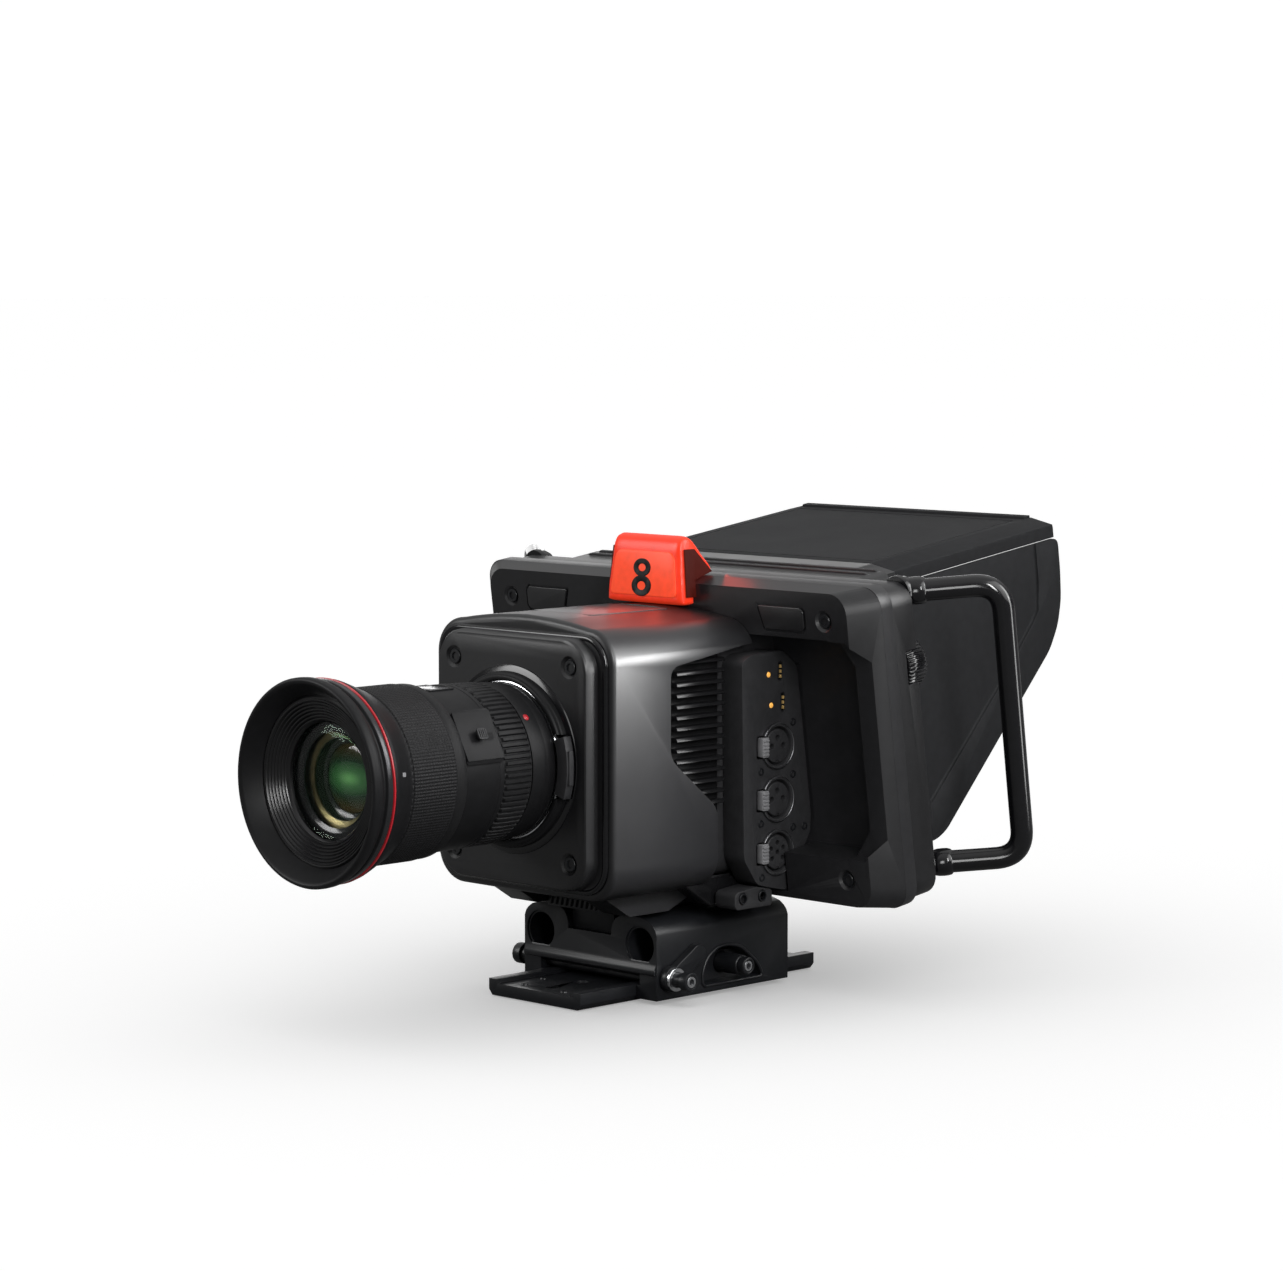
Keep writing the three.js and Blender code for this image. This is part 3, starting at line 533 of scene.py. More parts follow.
def grown(outline, distance):
    """A convex anticlockwise or clockwise outline moved outwards."""
    middle = sum((Vector(p) for p in outline), Vector((0, 0))) / len(outline)
    moved, count = [], len(outline)
    for i in range(count):
        a, b, c = Vector(outline[i - 1]), Vector(outline[i]), Vector(outline[(i + 1) % count])
        first, second = (b - a).normalized(), (c - b).normalized()
        n1, n2 = Vector((first.y, -first.x)), Vector((second.y, -second.x))
        if n1.dot(b - middle) < 0:
            n1, n2 = -n1, -n2
        lean = (n1 + n2).normalized()
        moved.append(tuple(b + lean * distance / max(0.3, lean.dot(n1))))
    return moved


def hexagon(size, angle):
    return size / cos((angle + pi / 6) % (pi / 3) - pi / 6)


def screw(name, place, normal, radius, depth=0.0, body="rig", slot="anodised"):
    """A socket head: place is the middle of the surface it sits in, depth is how far below it is."""
    profile = [(0, 0.75), (0.5, 0.75), (0.5, 0), (0.86, 0), (1, 0.18), (1, 1.2), (0, 1.2)]
    verts, segments = [], 48
    for i in range(segments):
        a = 2 * pi * i / segments
        for j, (r, y) in enumerate(profile):
            reach = hexagon(r, a) if j in (1, 2) else r
            verts.append((reach * radius * cos(a), y * radius + depth, reach * radius * sin(a)))
    obj = new_object(name, verts, ring_faces(segments, len(profile)), facing(place, normal))
    return finish(obj, slot, body)


def countersink(place, normal, radius, depth):
    """A cutter for a dished screw seat."""
    profile = [(0, -1), (radius + 1, -1), (radius, 0), (radius * 0.72, depth), (0, depth)]
    return round_piece("cutter", profile, facing(place, normal))


def refine(node, bevel, segments=3, angle=30):
    return stand_for(copied(node), bevel=bevel, segments=segments, angle=angle)


make_camera()
make_lights()
make_floor()
make_materials()


# ---------------------------------------------------------------- lens
def on_barrel(name, r0, r1, y0, y1, half_width, angle, steps=14, corner=0.0):
    """A curved plate on the lens barrel, centred at an angle up from +X."""
    half = half_width / r1
    outline = rounded_rect(-half_width, half_width, y0, y1, corner, 6) if corner else [
        (half_width * (2 * i / steps - 1), y0) for i in range(steps + 1)] + [
        (half_width * (1 - 2 * i / steps), y1) for i in range(steps + 1)]
    rings = []
    for r in (r0, r1):
        ring = []
        for t, y in outline:
            a = angle + t / half_width * half
            ring.append((r * cos(a), y, LENS_Z + r * sin(a)))
        rings.append(ring)
    return loft(name, rings)


def make_front():
    rim = turned("lens_rim_fine", [
        (39.9, -196.6), (39.3, -195.9), (37.4, -193), (35.6, -190.4), (34.6, -188.6), (33.6, -186.7),
        (40.8, -186.7), (40.8, -189.2), (40.1, -189.7), (40.0, -190.4), (40.5, -190.9), (41.5, -191.6),
        (42.1, -192.8), (42.2, -194.4), (42.15, -195.8), (41.8, -196.6), (41.2, -197), (40.5, -197)])
    stand_for(rim)
    band = turned("satin_band", [
        (40.9, -189.1), (41.15, -188.9), (41.2, -188), (41.2, -187), (41.05, -186.5), (40, -186.5),
        (40, -189.1)])
    finish(band, "anodised", look="barrel_gloss")
    accent = turned("accent_ring_fine", [
        (34, -186.2), (41.1, -186.2), (41.4, -186), (41.4, -185.4), (41.1, -185.1), (34, -185.1)])
    stand_for(accent)
    barrel = turned("front_barrel_fine", [
        (29.8, -184.8), (40.9, -184.8), (41.1, -184.3), (40.9, -183.2), (39.9, -180.6), (38.2, -176.4),
        (37.1, -174.2), (36.7, -173), (36.6, -172.4), (29.8, -172.4)])
    stand_for(barrel)
    mark = on_barrel("index_mark", 38.6, 39.6, -180.4, -178.2, 0.9, radians(8), corner=0.3)
    finish(mark, "tab_plastic", bevel=0.15)
    ridges = []
    for i in range(7):
        r, y = 33.3 - 1.3 * i, -189.5 + 0.62 * i
        ridges += [(r, y), (r - 0.25, y - 0.35), (r - 0.7, y - 0.35), (r - 0.95, y + 0.1)]
    cone = turned("front_cone_fine", [(34.8, -188.9), (33.9, -189.6)] + ridges + [
        (24.2, -185.4), (23.6, -184.6), (28, -184.6), (34.6, -186.9)], 200)
    stand_for(cone, sharp=20, look="ridge_gloss")
    dome = [(23.9 * sin(radians(a)), -183.2 - 4.3 * cos(radians(a)))
            for a in range(0, 91, 5)]
    glass = turned("front_glass_fine", dome + [(23, -182.6), (12, -182.9), (0, -183)], 96)
    stand_for(glass)
    for i, (outer, inner, y) in enumerate([(22.4, 19.4, -181.5), (20.6, 16.8, -178), (18.2, 14.2, -173.5),
                                           (16, 11.6, -168.5)]):
        shade = turned(f"inner_shade_{i + 1}", [
            (inner, y + 1.4), (inner, y + 0.6), (inner + 1.2, y), (outer, y - 0.4), (24.8, y - 0.4),
            (24.8, y + 1.4)], 96)
        # Every other shade is bronze, a painted reflection of the gold-brown arcs in the coated glass.
        finish(shade, "gloss_tube", sharp=50, look="bronze" if i % 2 else "gloss_tube")
    for i, (r, y, rise) in enumerate([(20.2, -178.6, 2.6), (14.6, -171.5, 2.4)]):
        bulge = [(r * sin(radians(a)), y - rise * cos(radians(a)))
                 for a in range(0, 91, 6)]
        element = turned(f"inner_element_{i + 1}", bulge + [(r, y + 0.8), (0, y + 0.6)], 96)
        # The rear element takes the painted glow, a colour that stands in for coloured reflections in its
        # coatings.
        finish(element, "coated_glass", look="coated_core" if i else "coated_inner")


def make_focus():
    ribs, rows = 168, 15
    profile = [(29.8, -172), (35.3, -172), (35.7, -171.8), (35.7, -170.9), (35.4, -170.7)]
    for i in range(rows):
        y = -170.4 + 22.4 * i / rows
        profile += [(36, y), (36.1, y + 0.12), (36.1, y + 1.3), (36, y + 1.42)]
    profile += [(35.5, -147.6), (35.5, -147.2), (35.75, -147), (35.75, -142.5), (35.5, -142.2), (29.8, -142)]
    first, last = 5, 5 + 4 * rows

    def ripple(i, j):
        if j in (2, 3):
            return 0.35 if i % 8 in (0, 1, 2) else 0
        return 0.24 if first <= j < last and i % 4 in (0, 1) else 0

    ring = turned("focus_ring_fine", profile, ribs * 4, ripple)
    stand_for(ring, sharp=60)


def make_switches():
    angle = radians(28)
    tube_profile = [(29.8, -141.7), (33.7, -141.7), (34, -141.4), (34, -123.2), (33.8, -123), (33.8, -122.6),
                    (34, -122.4), (34, -120.5), (33.8, -120.2), (29.8, -120.2)]
    barrel = turned("switch_barrel_fine", tube_profile, 200)
    panel = on_barrel("panel", 32.5, 35.7, -141, -121, 12, angle, corner=1.6)
    lower = on_barrel("cutter", 34.6, 40, -142, -119, 2.6, angle - radians(20.5))
    join(barrel, cut(panel, lower))
    cut(barrel, on_barrel("cutter", 34.9, 40, -138.6, -124.4, 3.6, angle + 0.02, corner=1.2))
    cut(barrel, on_barrel("cutter", 33, 40, -138.4, -124.6, 9.3, pi / 2, corner=0.8))
    stand_for(barrel, bevel=0.22, segments=2)
    rim = on_barrel("window_rim", 33.1, 34.5, -138.3, -124.7, 9.2, pi / 2, corner=0.8)
    cut(rim, on_barrel("cutter", 30, 40, -137.2, -125.8, 8.1, pi / 2, corner=0.6))
    finish(rim, "lens_barrel", bevel=0.15, segments=2)
    window = on_barrel("distance_window_fine", 33.3, 34.2, -137.1, -125.9, 8, pi / 2, corner=0.6)
    stand_for(window, bevel=0.12, segments=2)
    slider = on_barrel("focus_mode_switch_fine", 35.95, 36.9, -133.4, -128.6, 2.4, angle, corner=1.1)
    for i in range(4):
        y = -132.6 + i * 1.05
        join(slider, on_barrel("rib", 36.6, 37.25, y, y + 0.5, 1.7, angle))
    stand_for(slider, bevel=0.12, segments=2)


def make_zoom():
    ribs = 84
    profile = [(29.8, -119.9), (32.5, -119.9), (32.7, -119.7), (32.7, -119.3), (33.35, -119.1), (33.5, -118.4),
               (33.65, -118), (33.75, -111.8), (33.65, -105), (33.4, -104.5), (32.7, -104.3), (32.7, -103.9),
               (29.8, -103.8)]

    def ripple(i, j):
        if 4 <= j <= 9:
            if i % 6 in (0, 1):
                return 1.1
            if j in (4, 5) and (i // 6) % 2:
                return 0.8
        return 0

    stand_for(turned("zoom_ring_fine", profile, ribs * 6, ripple), sharp=50)


def release_gap(back):
    """A cutter for the room in which the lens release moves."""
    return block("cutter", (28, 45), (-95, back), (LENS_Z - 13.2, LENS_Z + 13.2))


def make_rear():
    core = turned("lens_core_fine", [
        (25, -166), (25, -82), (29.7, -82), (29.7, -89.1), (31.4, -89.3), (31.7, -89.6), (31.9, -91.2),
        (32.4, -91.5), (32.6, -94.6), (32.5, -94.9), (32.5, -95.4), (32.9, -95.7), (33.1, -102.6),
        (32.9, -103.4), (29.5, -103.5), (29.5, -184.5), (27, -184.5), (25.4, -182.5)], 200)
    stand_for(core)
    angle = radians(39)
    spot = Vector((32.95 * cos(angle), -100.6, LENS_Z + 32.95 * sin(angle)))
    dot = round_piece("index_dot", [(0, -0.6), (0.9, -0.5), (1.4, -0.15), (1.55, 0.3), (0, 0.3)],
                      facing(spot, (cos(angle), 0, sin(angle))), 24)
    finish(dot, "accent_red")
    silver = turned("mount_ring_fine", [
        (30, -89.1), (32.4, -89.1), (32.6, -88.6), (33.2, -88.4), (33.2, -87.3), (32.7, -87.1), (32.7, -86.4),
        (30, -86.2)])
    stand_for(silver)
    collar = turned("mount_collar_fine", [
        (33.5, -89.9), (34.9, -90), (35.4, -89.8), (35.6, -89), (36.2, -88.7), (36.6, -88.4), (36.8, -87.8),
        (36.9, -85.4), (33.5, -85.4)])
    cut(collar, release_gap(-80))
    stand_for(collar, bevel=0.25, segments=2)
    seat = turned("mount_step", [
        (30.5, -85.2), (30.5, -86.4), (33, -86.4), (38.6, -85.9), (39.4, -85.5), (39.6, -85.05)])
    cut(seat, release_gap(-85.45))
    finish(seat, "gloss_tube")
    release = copied("lens_release", flatten=False)
    join(release, block("grip", (37.9, 40.4), (-90.2, -88), (LENS_Z - 7, LENS_Z + 7)))
    stand_for(release, bevel=0.5)


# ---------------------------------------------------------------- body
def body_rings():
    rings = []
    for i in range(9):
        a = radians(90 * i / 8)
        inset, y = 2.6 * (1 - sin(a)), -78 + 2.6 * (1 - cos(a))
        outline = rounded_rect(-53.4 + inset, 53.4 - inset, 47.5 + inset, 160.5 - inset, 15 - inset, 12, 3.5)
        rings.append([(x, y, z) for x, z in outline])
    rings.append([(x, 30, z) for x, y, z in rings[-1]])
    return rings


NOTCH = [(-16.1, 30), (40, 30), (40, 150), (3, 150), (-44.4, 143), (-44.4, 105), (-16.1, 82)]


def make_body():
    shell = loft("body_shell_fine", body_rings())
    inside = rounded_rect(-50.4, 50.4, 50.5, 157.5, 12, 10)
    cut(shell, prism("cutter", "y", inside, -90, 60))
    cheek = [(-65.5, 50), (-6, 50), (-6, 47), (-28, 38), (-51, 38), (-65.5, 47)]
    join(shell, prism("cheek", "x", cheek, 20, 36), prism("cheek", "x", cheek, -36, -20))
    outline = rounded_outline(NOTCH, 5, 6)
    cut(shell, prism("cutter", "x", outline, 44, 60), prism("cutter", "x", outline, -60, -44))
    hatch = rounded_rect(-18.3, 18.3, -56.3, -9, 2.2)
    # The shell stops just in front of the housing's front face.
    room = [(-200, -250), (200, -250), (200, 250), (-200, 250)]
    cut(shell, prism("cutter", "z", hatch, 162.2, 170), prism("cutter", "y", room, -0.3, 300, HOUSING))
    tidy(shell, flatten=True)
    stand_for(shell, bevel=1.1, segments=4, angle=40)
    BODY_LIT.objects.link(shell)
    plate = prism("top_hatch_fine", "z", rounded_rect(-17.7, 17.7, -55.7, -9.6, 1.8), 162.4, 163.55)
    stand_for(plate, bevel=0.25, look="hatch_satin")
    bead = [(x, -78.1, z) for x, z in rounded_rect(-49.2, 49.2, 51.7, 156.6, 12, 10)]
    finish(tube("front_bead", bead, 1.5, closed=True), "gloss_tube")
    refine("core_chassis", 0.4)
    for side, name in SIDES:
        slope = [(-30, 51), (13, 51), (13, 39.5), (-12, 39.5)]
        web = prism(f"under_web_{name}", "x", slope, side * 20, side * 45)
        # The webs under the body take the darker ridge_gloss look, not their slot's panel plastic: painted shade
        # under the body.
        finish(web, "panel_plastic", bevel=0.6, look="ridge_gloss")


def make_front_plate():
    sizes = [(43.6, 51.1, -85), (44.3, 51.8, -84.6), (44.8, 52.2, -83.8), (45.6, 52.6, -79.1)]
    rings = [[(x, y, z) for x, z in rounded_rect(-w, w, LENS_Z - h, LENS_Z + h, 14, 12)] for w, h, y in sizes]
    plate = loft("front_plate_fine", rings)
    tongue = prism("tongue", "y", rounded_rect(-50, 50, 50.9, 157.1, 11.6), -79.2, -75)
    join(plate, tongue)
    cut(plate, rod("cutter", "y", 30.3, -90, -70, 0, LENS_Z, 96))
    places = [(sx * 34.6, -85, LENS_Z + sz * 40.6) for sx in (-1, 1) for sz in (-1, 1)]
    for place in places:
        cut(plate, countersink(place, (0, -1, 0), 4.7, 1.1))
    stand_for(plate, sharp=25)
    BODY_LIT.objects.link(plate)
    for i, place in enumerate(places):
        screw(f"plate_screw_{i + 1}", place, (0, -1, 0), 3.3, depth=0.45)


def make_vents():
    window = [(-10, 78.2), (-10, 147.6), (-44, 142.6), (-44, 105.8)]
    for side, name in SIDES:
        fins = None
        for i in range(14):
            z = 84 + 4.6 * i
            section = [(46.6, z - 0.3), (51.2, z - 0.3), (51.6, z), (51.2, z + 0.9), (50.6, z + 1.4),
                       (46.6, z + 1.4)]
            fin = prism("fin", "y", [(side * x, v) for x, v in section], -38.6, -10)
            fins = fin if fins is None else join(fins, fin)
        join(fins, block("back", (side * 46.4, side * 47), (-43.9, -10), (78, 149)))
        keep = prism("keep", "x", window, side * 46, side * 52)
        combine(fins, keep, "INTERSECT")
        fins.name = f"vent_grille_{name}_fine"
        stand_for(fins, bevel=0.14, segments=2, look="fin_gloss")


# ---------------------------------------------------------------- connector sides
PORT = [(-6.6, 143), (-5.1, 59.5), (3, 48), (20.4, 43.9), (31.7, 50), (31.6, 60.8), (36, 67.2), (36.6, 74.5),
        (27.4, 139.6), (18, 146.6), (-0.5, 145.8)]
SOCKETS = [(106.1, 3), (83.5, 3), (60.8, 5)]


def slot_outline(y, z0, z1, half):
    return rounded_rect(y - half, y + half, z0, z1, half * 0.98, 8)


def tab_recess(y0, y1, z, radius, lo, hi):
    """A cutter for a latch tab's place beside its socket."""
    return prism("cutter", "x", rounded_rect(y0, y1, z - 4.9, z + 4.9, radius), lo, hi)


def make_ports():
    panel = prism("port_panel_fine", "x", rounded_outline(PORT, 2.5, 4), PORT_BACK, PORT_FACE)
    for z, _ in SOCKETS:
        cut(panel, rod("cutter", "x", 8.3, 53, 60, SOCKET_Y, z, 64))
        cut(panel, tab_recess(2.5, 9.1, z, 1, 54.4, 60))
    slots = [(16.8, 133.6, 142.1), (18.5, 120.3, 128.8)]
    for y, z0, z1 in slots:
        cut(panel, prism("cutter", "x", slot_outline(y, z0, z1, 1.5), 54, 60))
    stand_for(panel, bevel=0.5)
    for i, (y, z0, z1) in enumerate(slots):
        shell = prism(f"usb_shell_{i + 1}", "x", slot_outline(y, z0 + 0.1, z1 - 0.1, 1.4), 54.2, 57.9)
        cut(shell, prism("cutter", "x", slot_outline(y, z0 + 0.5, z1 - 0.5, 1.0), 54.8, 60))
        join(shell, prism("tongue", "x", slot_outline(y, z0 + 1.6, z1 - 1.6, 0.32), 54.6, 57.2))
        finish(shell, "anodised", bevel=0.08, segments=2)
        for k in range(3):
            low = z0 + 1.3 + 2.1 * k
            contact = block(f"usb_contact_{i + 1}_{k + 1}", (57, PORT_FACE), (y + 0.2, y + 0.95),
                            (low, low + 1.3))
            # The contacts are gold with a painted glow that stands in for glints.
            finish(contact, "bright_steel", bevel=0.08, look="gold")
    for i, (y, z) in enumerate(((9.7, 136.7), (11.4, 123.6))):
        profile = [(0, -0.45), (0.7, -0.35), (1.1, -0.1), (1.25, 0.2), (0, 0.3)]
        lamp = round_piece(f"status_lamp_{i + 1}", profile, facing((PORT_FACE, y, z), (1, 0, 0)), 24)
        finish(lamp, "tally_lens", look="amber")
    for i, (z, pins) in enumerate(SOCKETS):
        make_socket(i + 1, z, pins)
    screws = [(25, 115.5), (5.2, 95.9), (25.1, 93.2), (5.3, 73.7), (25.3, 70.5), (6, 50.7), (32.4, 70.2)]
    for i, (y, z) in enumerate(screws):
        screw(f"port_screw_{i + 1}", (PORT_FACE, y, z), (1, 0, 0), 1.75, depth=-0.35)
    make_jacks()


def make_socket(number, z, pins):
    middle = facing((PORT_FACE, SOCKET_Y, z), (1, 0, 0))
    socket = round_piece(f"xlr_socket_{number}_fine", [
        (0, -0.5), (6.9, -0.5), (7.2, -0.25), (7.2, 2.4), (8.15, 2.4), (8.3, -0.5), (8.55, -0.9), (9.4, -1.05),
        (9.75, -0.85), (9.8, -0.3), (8.4, -0.2), (8.2, 4.6), (0, 4.6)], middle, 72)
    cut(socket, tab_recess(1.9, 9, z, 0.8, 50, 62))
    spread, step, pin = (3.5, 90, 1.35) if pins == 3 else (4.1, 64, 1.1)
    for k in range(pins):
        a = radians(-90 + (k - (pins - 1) / 2) * step) + pi
        y, h = SOCKET_Y + spread * cos(a), z + spread * sin(a)
        cut(socket, rod("cutter", "x", pin, 55, 60, y, h, 20))
    if pins == 5:
        cut(socket, rod("cutter", "x", pin, 55, 60, SOCKET_Y, z, 20))
    cut(socket, block("cutter", (57.6, 60), (SOCKET_Y - 1.1, SOCKET_Y + 1.1), (z - 8.2, z - 6)))
    stand_for(socket, bevel=0.12, segments=2)
    hoop = round_piece(f"xlr_hoop_{number}", [
        (9.2, -0.9), (9.5, -1.25), (9.85, -1.1), (9.9, -0.3), (9.2, -0.3)], middle, 72)
    finish(cut(hoop, tab_recess(1.9, 9, z, 0.8, 50, 62)), "anodised", look="ring_satin")
    tab = prism(f"xlr_tab_{number}_fine", "x", rounded_rect(4.6, 8.5, z - 4.2, z + 4.2, 0.7), 56.5, 59.6)
    for k in range(5):
        low = z - 3.5 + 1.5 * k
        join(tab, prism("rib", "x", rounded_rect(4.9, 8.2, low, low + 0.8, 0.3, 3), 59.3, 60.15))
    stand_for(tab, bevel=0.15, segments=2)


def make_jacks():
    outline = [(-10.5, 44.4), (-10.5, 40), (-9, 38.4), (12.3, 38.4), (12.3, 45.2), (3, 47.2), (-9, 46)]
    plate = prism("jack_plate_fine", "x", rounded_outline(outline, 1.5, 4), PORT_BACK, PORT_FACE)
    jacks = (-5.6, 6.2)
    for y in jacks:
        for radius, depth in ((2.5, 56.8), (1.9, 52)):
            cut(plate, rod("cutter", "x", radius, depth, 60, y, JACK_Z, 40))
    stand_for(plate, bevel=0.4)
    for i, y in enumerate(jacks):
        ring = round_piece(f"jack_ring_{i + 1}", [
            (1.75, -0.5), (2.2, -0.55), (2.4, -0.3), (2.4, 1), (1.75, 1)],
            facing((PORT_FACE, y, JACK_Z), (1, 0, 0)), 40)
        finish(ring, "anodised")


def make_left_ports():
    panel = prism("left_port_panel_fine", "x", rounded_outline(PORT, 2.5, 4), -PORT_FACE, -PORT_BACK)
    places = [(14.5, 131), (14.5, 112), (14.5, 93), (14.5, 74)]
    for y, z in places:
        cut(panel, rod("cutter", "x", 6.6, -60, -57.2, y, z, 48))
    stand_for(panel, bevel=0.5)
    for i, (y, z) in enumerate(places):
        at = facing((-PORT_FACE, y, z), (-1, 0, 0))
        nut = round_piece(f"coax_nut_{i + 1}", [
            (4.4, 0.9), (4.4, -0.5), (4.7, -0.7), (6, -0.6), (6.2, -0.3), (6.2, 0.9)], at)
        finish(nut, "bright_steel")
        core = round_piece(f"coax_socket_{i + 1}", [
            (0, 0.6), (0.9, 0.6), (0.9, -1), (1.2, -1), (1.2, 0.6), (3.5, 0.6), (3.5, -1.8), (3.9, -2),
            (4.3, -1.8), (4.3, 1), (0, 1)], at)
        finish(core, "bright_steel")
    for i, (y, z) in enumerate(((4, 139), (24, 121), (4, 84), (26, 84), (7, 55), (25, 55))):
        screw(f"left_port_screw_{i + 1}", (-PORT_FACE, y, z), (-1, 0, 0), 1.75, depth=-0.35)


# ---------------------------------------------------------------- monitor housing
def housing_point(x, w, v):
    return HOUSING @ Vector((x, w, v))


def housing_normal(x, w, v):
    return HOUSING.to_3x3() @ Vector((x, w, v))


def make_housing():
    shell = softened(copied("housing_front"), 0.9, 4, 25)
    pad = [(57.5, 5), (60.5, -5), (81.5, -5), (83, -3.5), (83, 3.5), (81.5, 5)]
    seats = [(sx * 93.9, v) for sx in (-1, 1) for v in (0, -110.7)]
    for side in (1, -1):
        groove = [(side * x, v) for x, v in grown(pad, 0.9)]
        cut(shell, prism("cutter", "y", groove, -2, 0.7, HOUSING))
    for x, v in seats:
        cut(shell, countersink(housing_point(x, 0, v), housing_normal(0, -1, 0), 4.6, 1.1))
    stand_for(shell, look="housing_satin")
    HOUSING_LIT.objects.link(shell)
    leave_out(shell, FRONT_UNLIT)
    for i, (x, v) in enumerate(seats):
        screw(f"housing_screw_{i + 1}", housing_point(x, 0, v), housing_normal(0, -1, 0), 3.2, depth=0.4)
    for side, name in SIDES:
        outline = rounded_outline([(side * x, v) for x, v in pad], 1.2, 4)
        plate = prism(f"pad_{name}_fine", "y", outline, -0.5, 0.55, HOUSING)
        stand_for(plate, bevel=0.3, look="satin_body")
    refine("housing_rear", 0.8, 3, 25)
    for i, (w, v) in enumerate(((40, 11.35), (46.6, 11.35))):
        section = [(-84, v), (84, v), (82.5, v + 0.9), (-82.5, v + 0.9)]
        strip = prism(f"top_ridge_{i + 1}", "y", section, w, w + 1.6, HOUSING)
        finish(strip, "panel_plastic", bevel=0.3)
    for side, name in SIDES:
        make_knob(side, name)
        make_handle(side, name)


def make_knob(side, name):
    def ripple(i, j):
        return 0.55 if 2 <= j <= 6 and i % 4 in (0, 1) else 0

    profile = [(0, 24), (9.6, 24), (10.9, 24.3), (11.6, 25), (11.6, 28.5), (11.6, 33.4), (11.1, 35),
               (10.2, 35.8), (7.4, 36), (6.8, 35.5), (0, 35.3)]
    knob = turned(f"knob_{name}_fine", profile, 44 * 4, ripple, centre=(side * 107, -23), matrix=HOUSING)
    stand_for(knob, sharp=45, look="gloss_tube")
    HANDLE_LIT.objects.link(knob)


def handle_point(side, reach, v):
    """Where an arm of the handle is, in the housing's own axes: reach is along the arm."""
    return Vector((side * (105 + reach * sin(HANDLE_ANGLE)), 30 + reach * cos(HANDLE_ANGLE), v))


def handle_path(side):
    corners = [handle_point(side, reach, v) for reach, v in (
        (6.6, HANDLE_TOP), (34.5, HANDLE_TOP), (46.5, HANDLE_TOP), (46.5, -5), (46.5, -98), (46.5, HANDLE_FOOT),
        (34.5, HANDLE_FOOT), (6.6, HANDLE_FOOT))]
    upper, lower = bend(*corners[1:4], 16, 1), bend(*corners[4:7], 16, 1)
    return corners[:2] + upper + [corners[4]] + lower + [corners[7]]


def make_handle(side, name):
    bar = tube(f"handle_{name}_fine", handle_path(side), 4.75, sides=10, matrix=HOUSING)
    for v in (HANDLE_TOP, HANDLE_FOOT):
        foot = turned("foot", [
            (0, 30.3), (7, 30.3), (7.2, 30.8), (7.2, 32.4), (6.4, 33), (6.2, 35.6), (5.2, 37.6), (0, 38)], 48,
            centre=(side * 108.6, v), matrix=HOUSING)
        join(bar, foot)
    stand_for(bar)
    HANDLE_LIT.objects.link(bar)
    along = housing_normal(side * sin(HANDLE_ANGLE), cos(HANDLE_ANGLE), 0)
    for i, (v, reach) in enumerate(((HANDLE_TOP, 11), (HANDLE_FOOT, 12.5))):
        sleeve = round_piece(f"handle_{name}_sleeve_{i + 1}", [
            (4.6, -4), (4.9, -4), (5.5, -3.4), (5.8, -2), (5.9, 0), (5.8, 2), (5.5, 3.4), (4.9, 4), (4.6, 4)],
            facing(HOUSING @ handle_point(side, reach, v), along))
        finish(sleeve, "gloss_tube")
        HANDLE_LIT.objects.link(sleeve)


def make_screen():
    refine("screen", 0.4)
    frame_out = rounded_rect(-82.4, 82.4, -114.2, 3, 3)
    bezel = prism("screen_bezel", "y", frame_out, 38.4, 41.3, HOUSING)
    # The raised part stays under the right flap when that is folded flat.
    join(bezel, prism("raised", "y", rounded_rect(-79.3, 79.3, -114.2, 3, 3), 41, 41.9, HOUSING))
    cut(bezel, prism("cutter", "y", rounded_rect(-77, 77, -103, -7, 1.5), 38, 46, HOUSING))
    finish(bezel, "panel_plastic", bevel=0.5)
    for number, v in ((1, -52), (2, -66)):
        button = turned(f"function_button_{number}_fine", [
            (0, 31.1), (4.2, 31.1), (4.2, 32.7), (3.9, 33.2), (3.2, 33.4), (1.6, 33.2), (0, 33.1)], 48,
            centre=(97.5, v), matrix=HOUSING)
        stand_for(button)


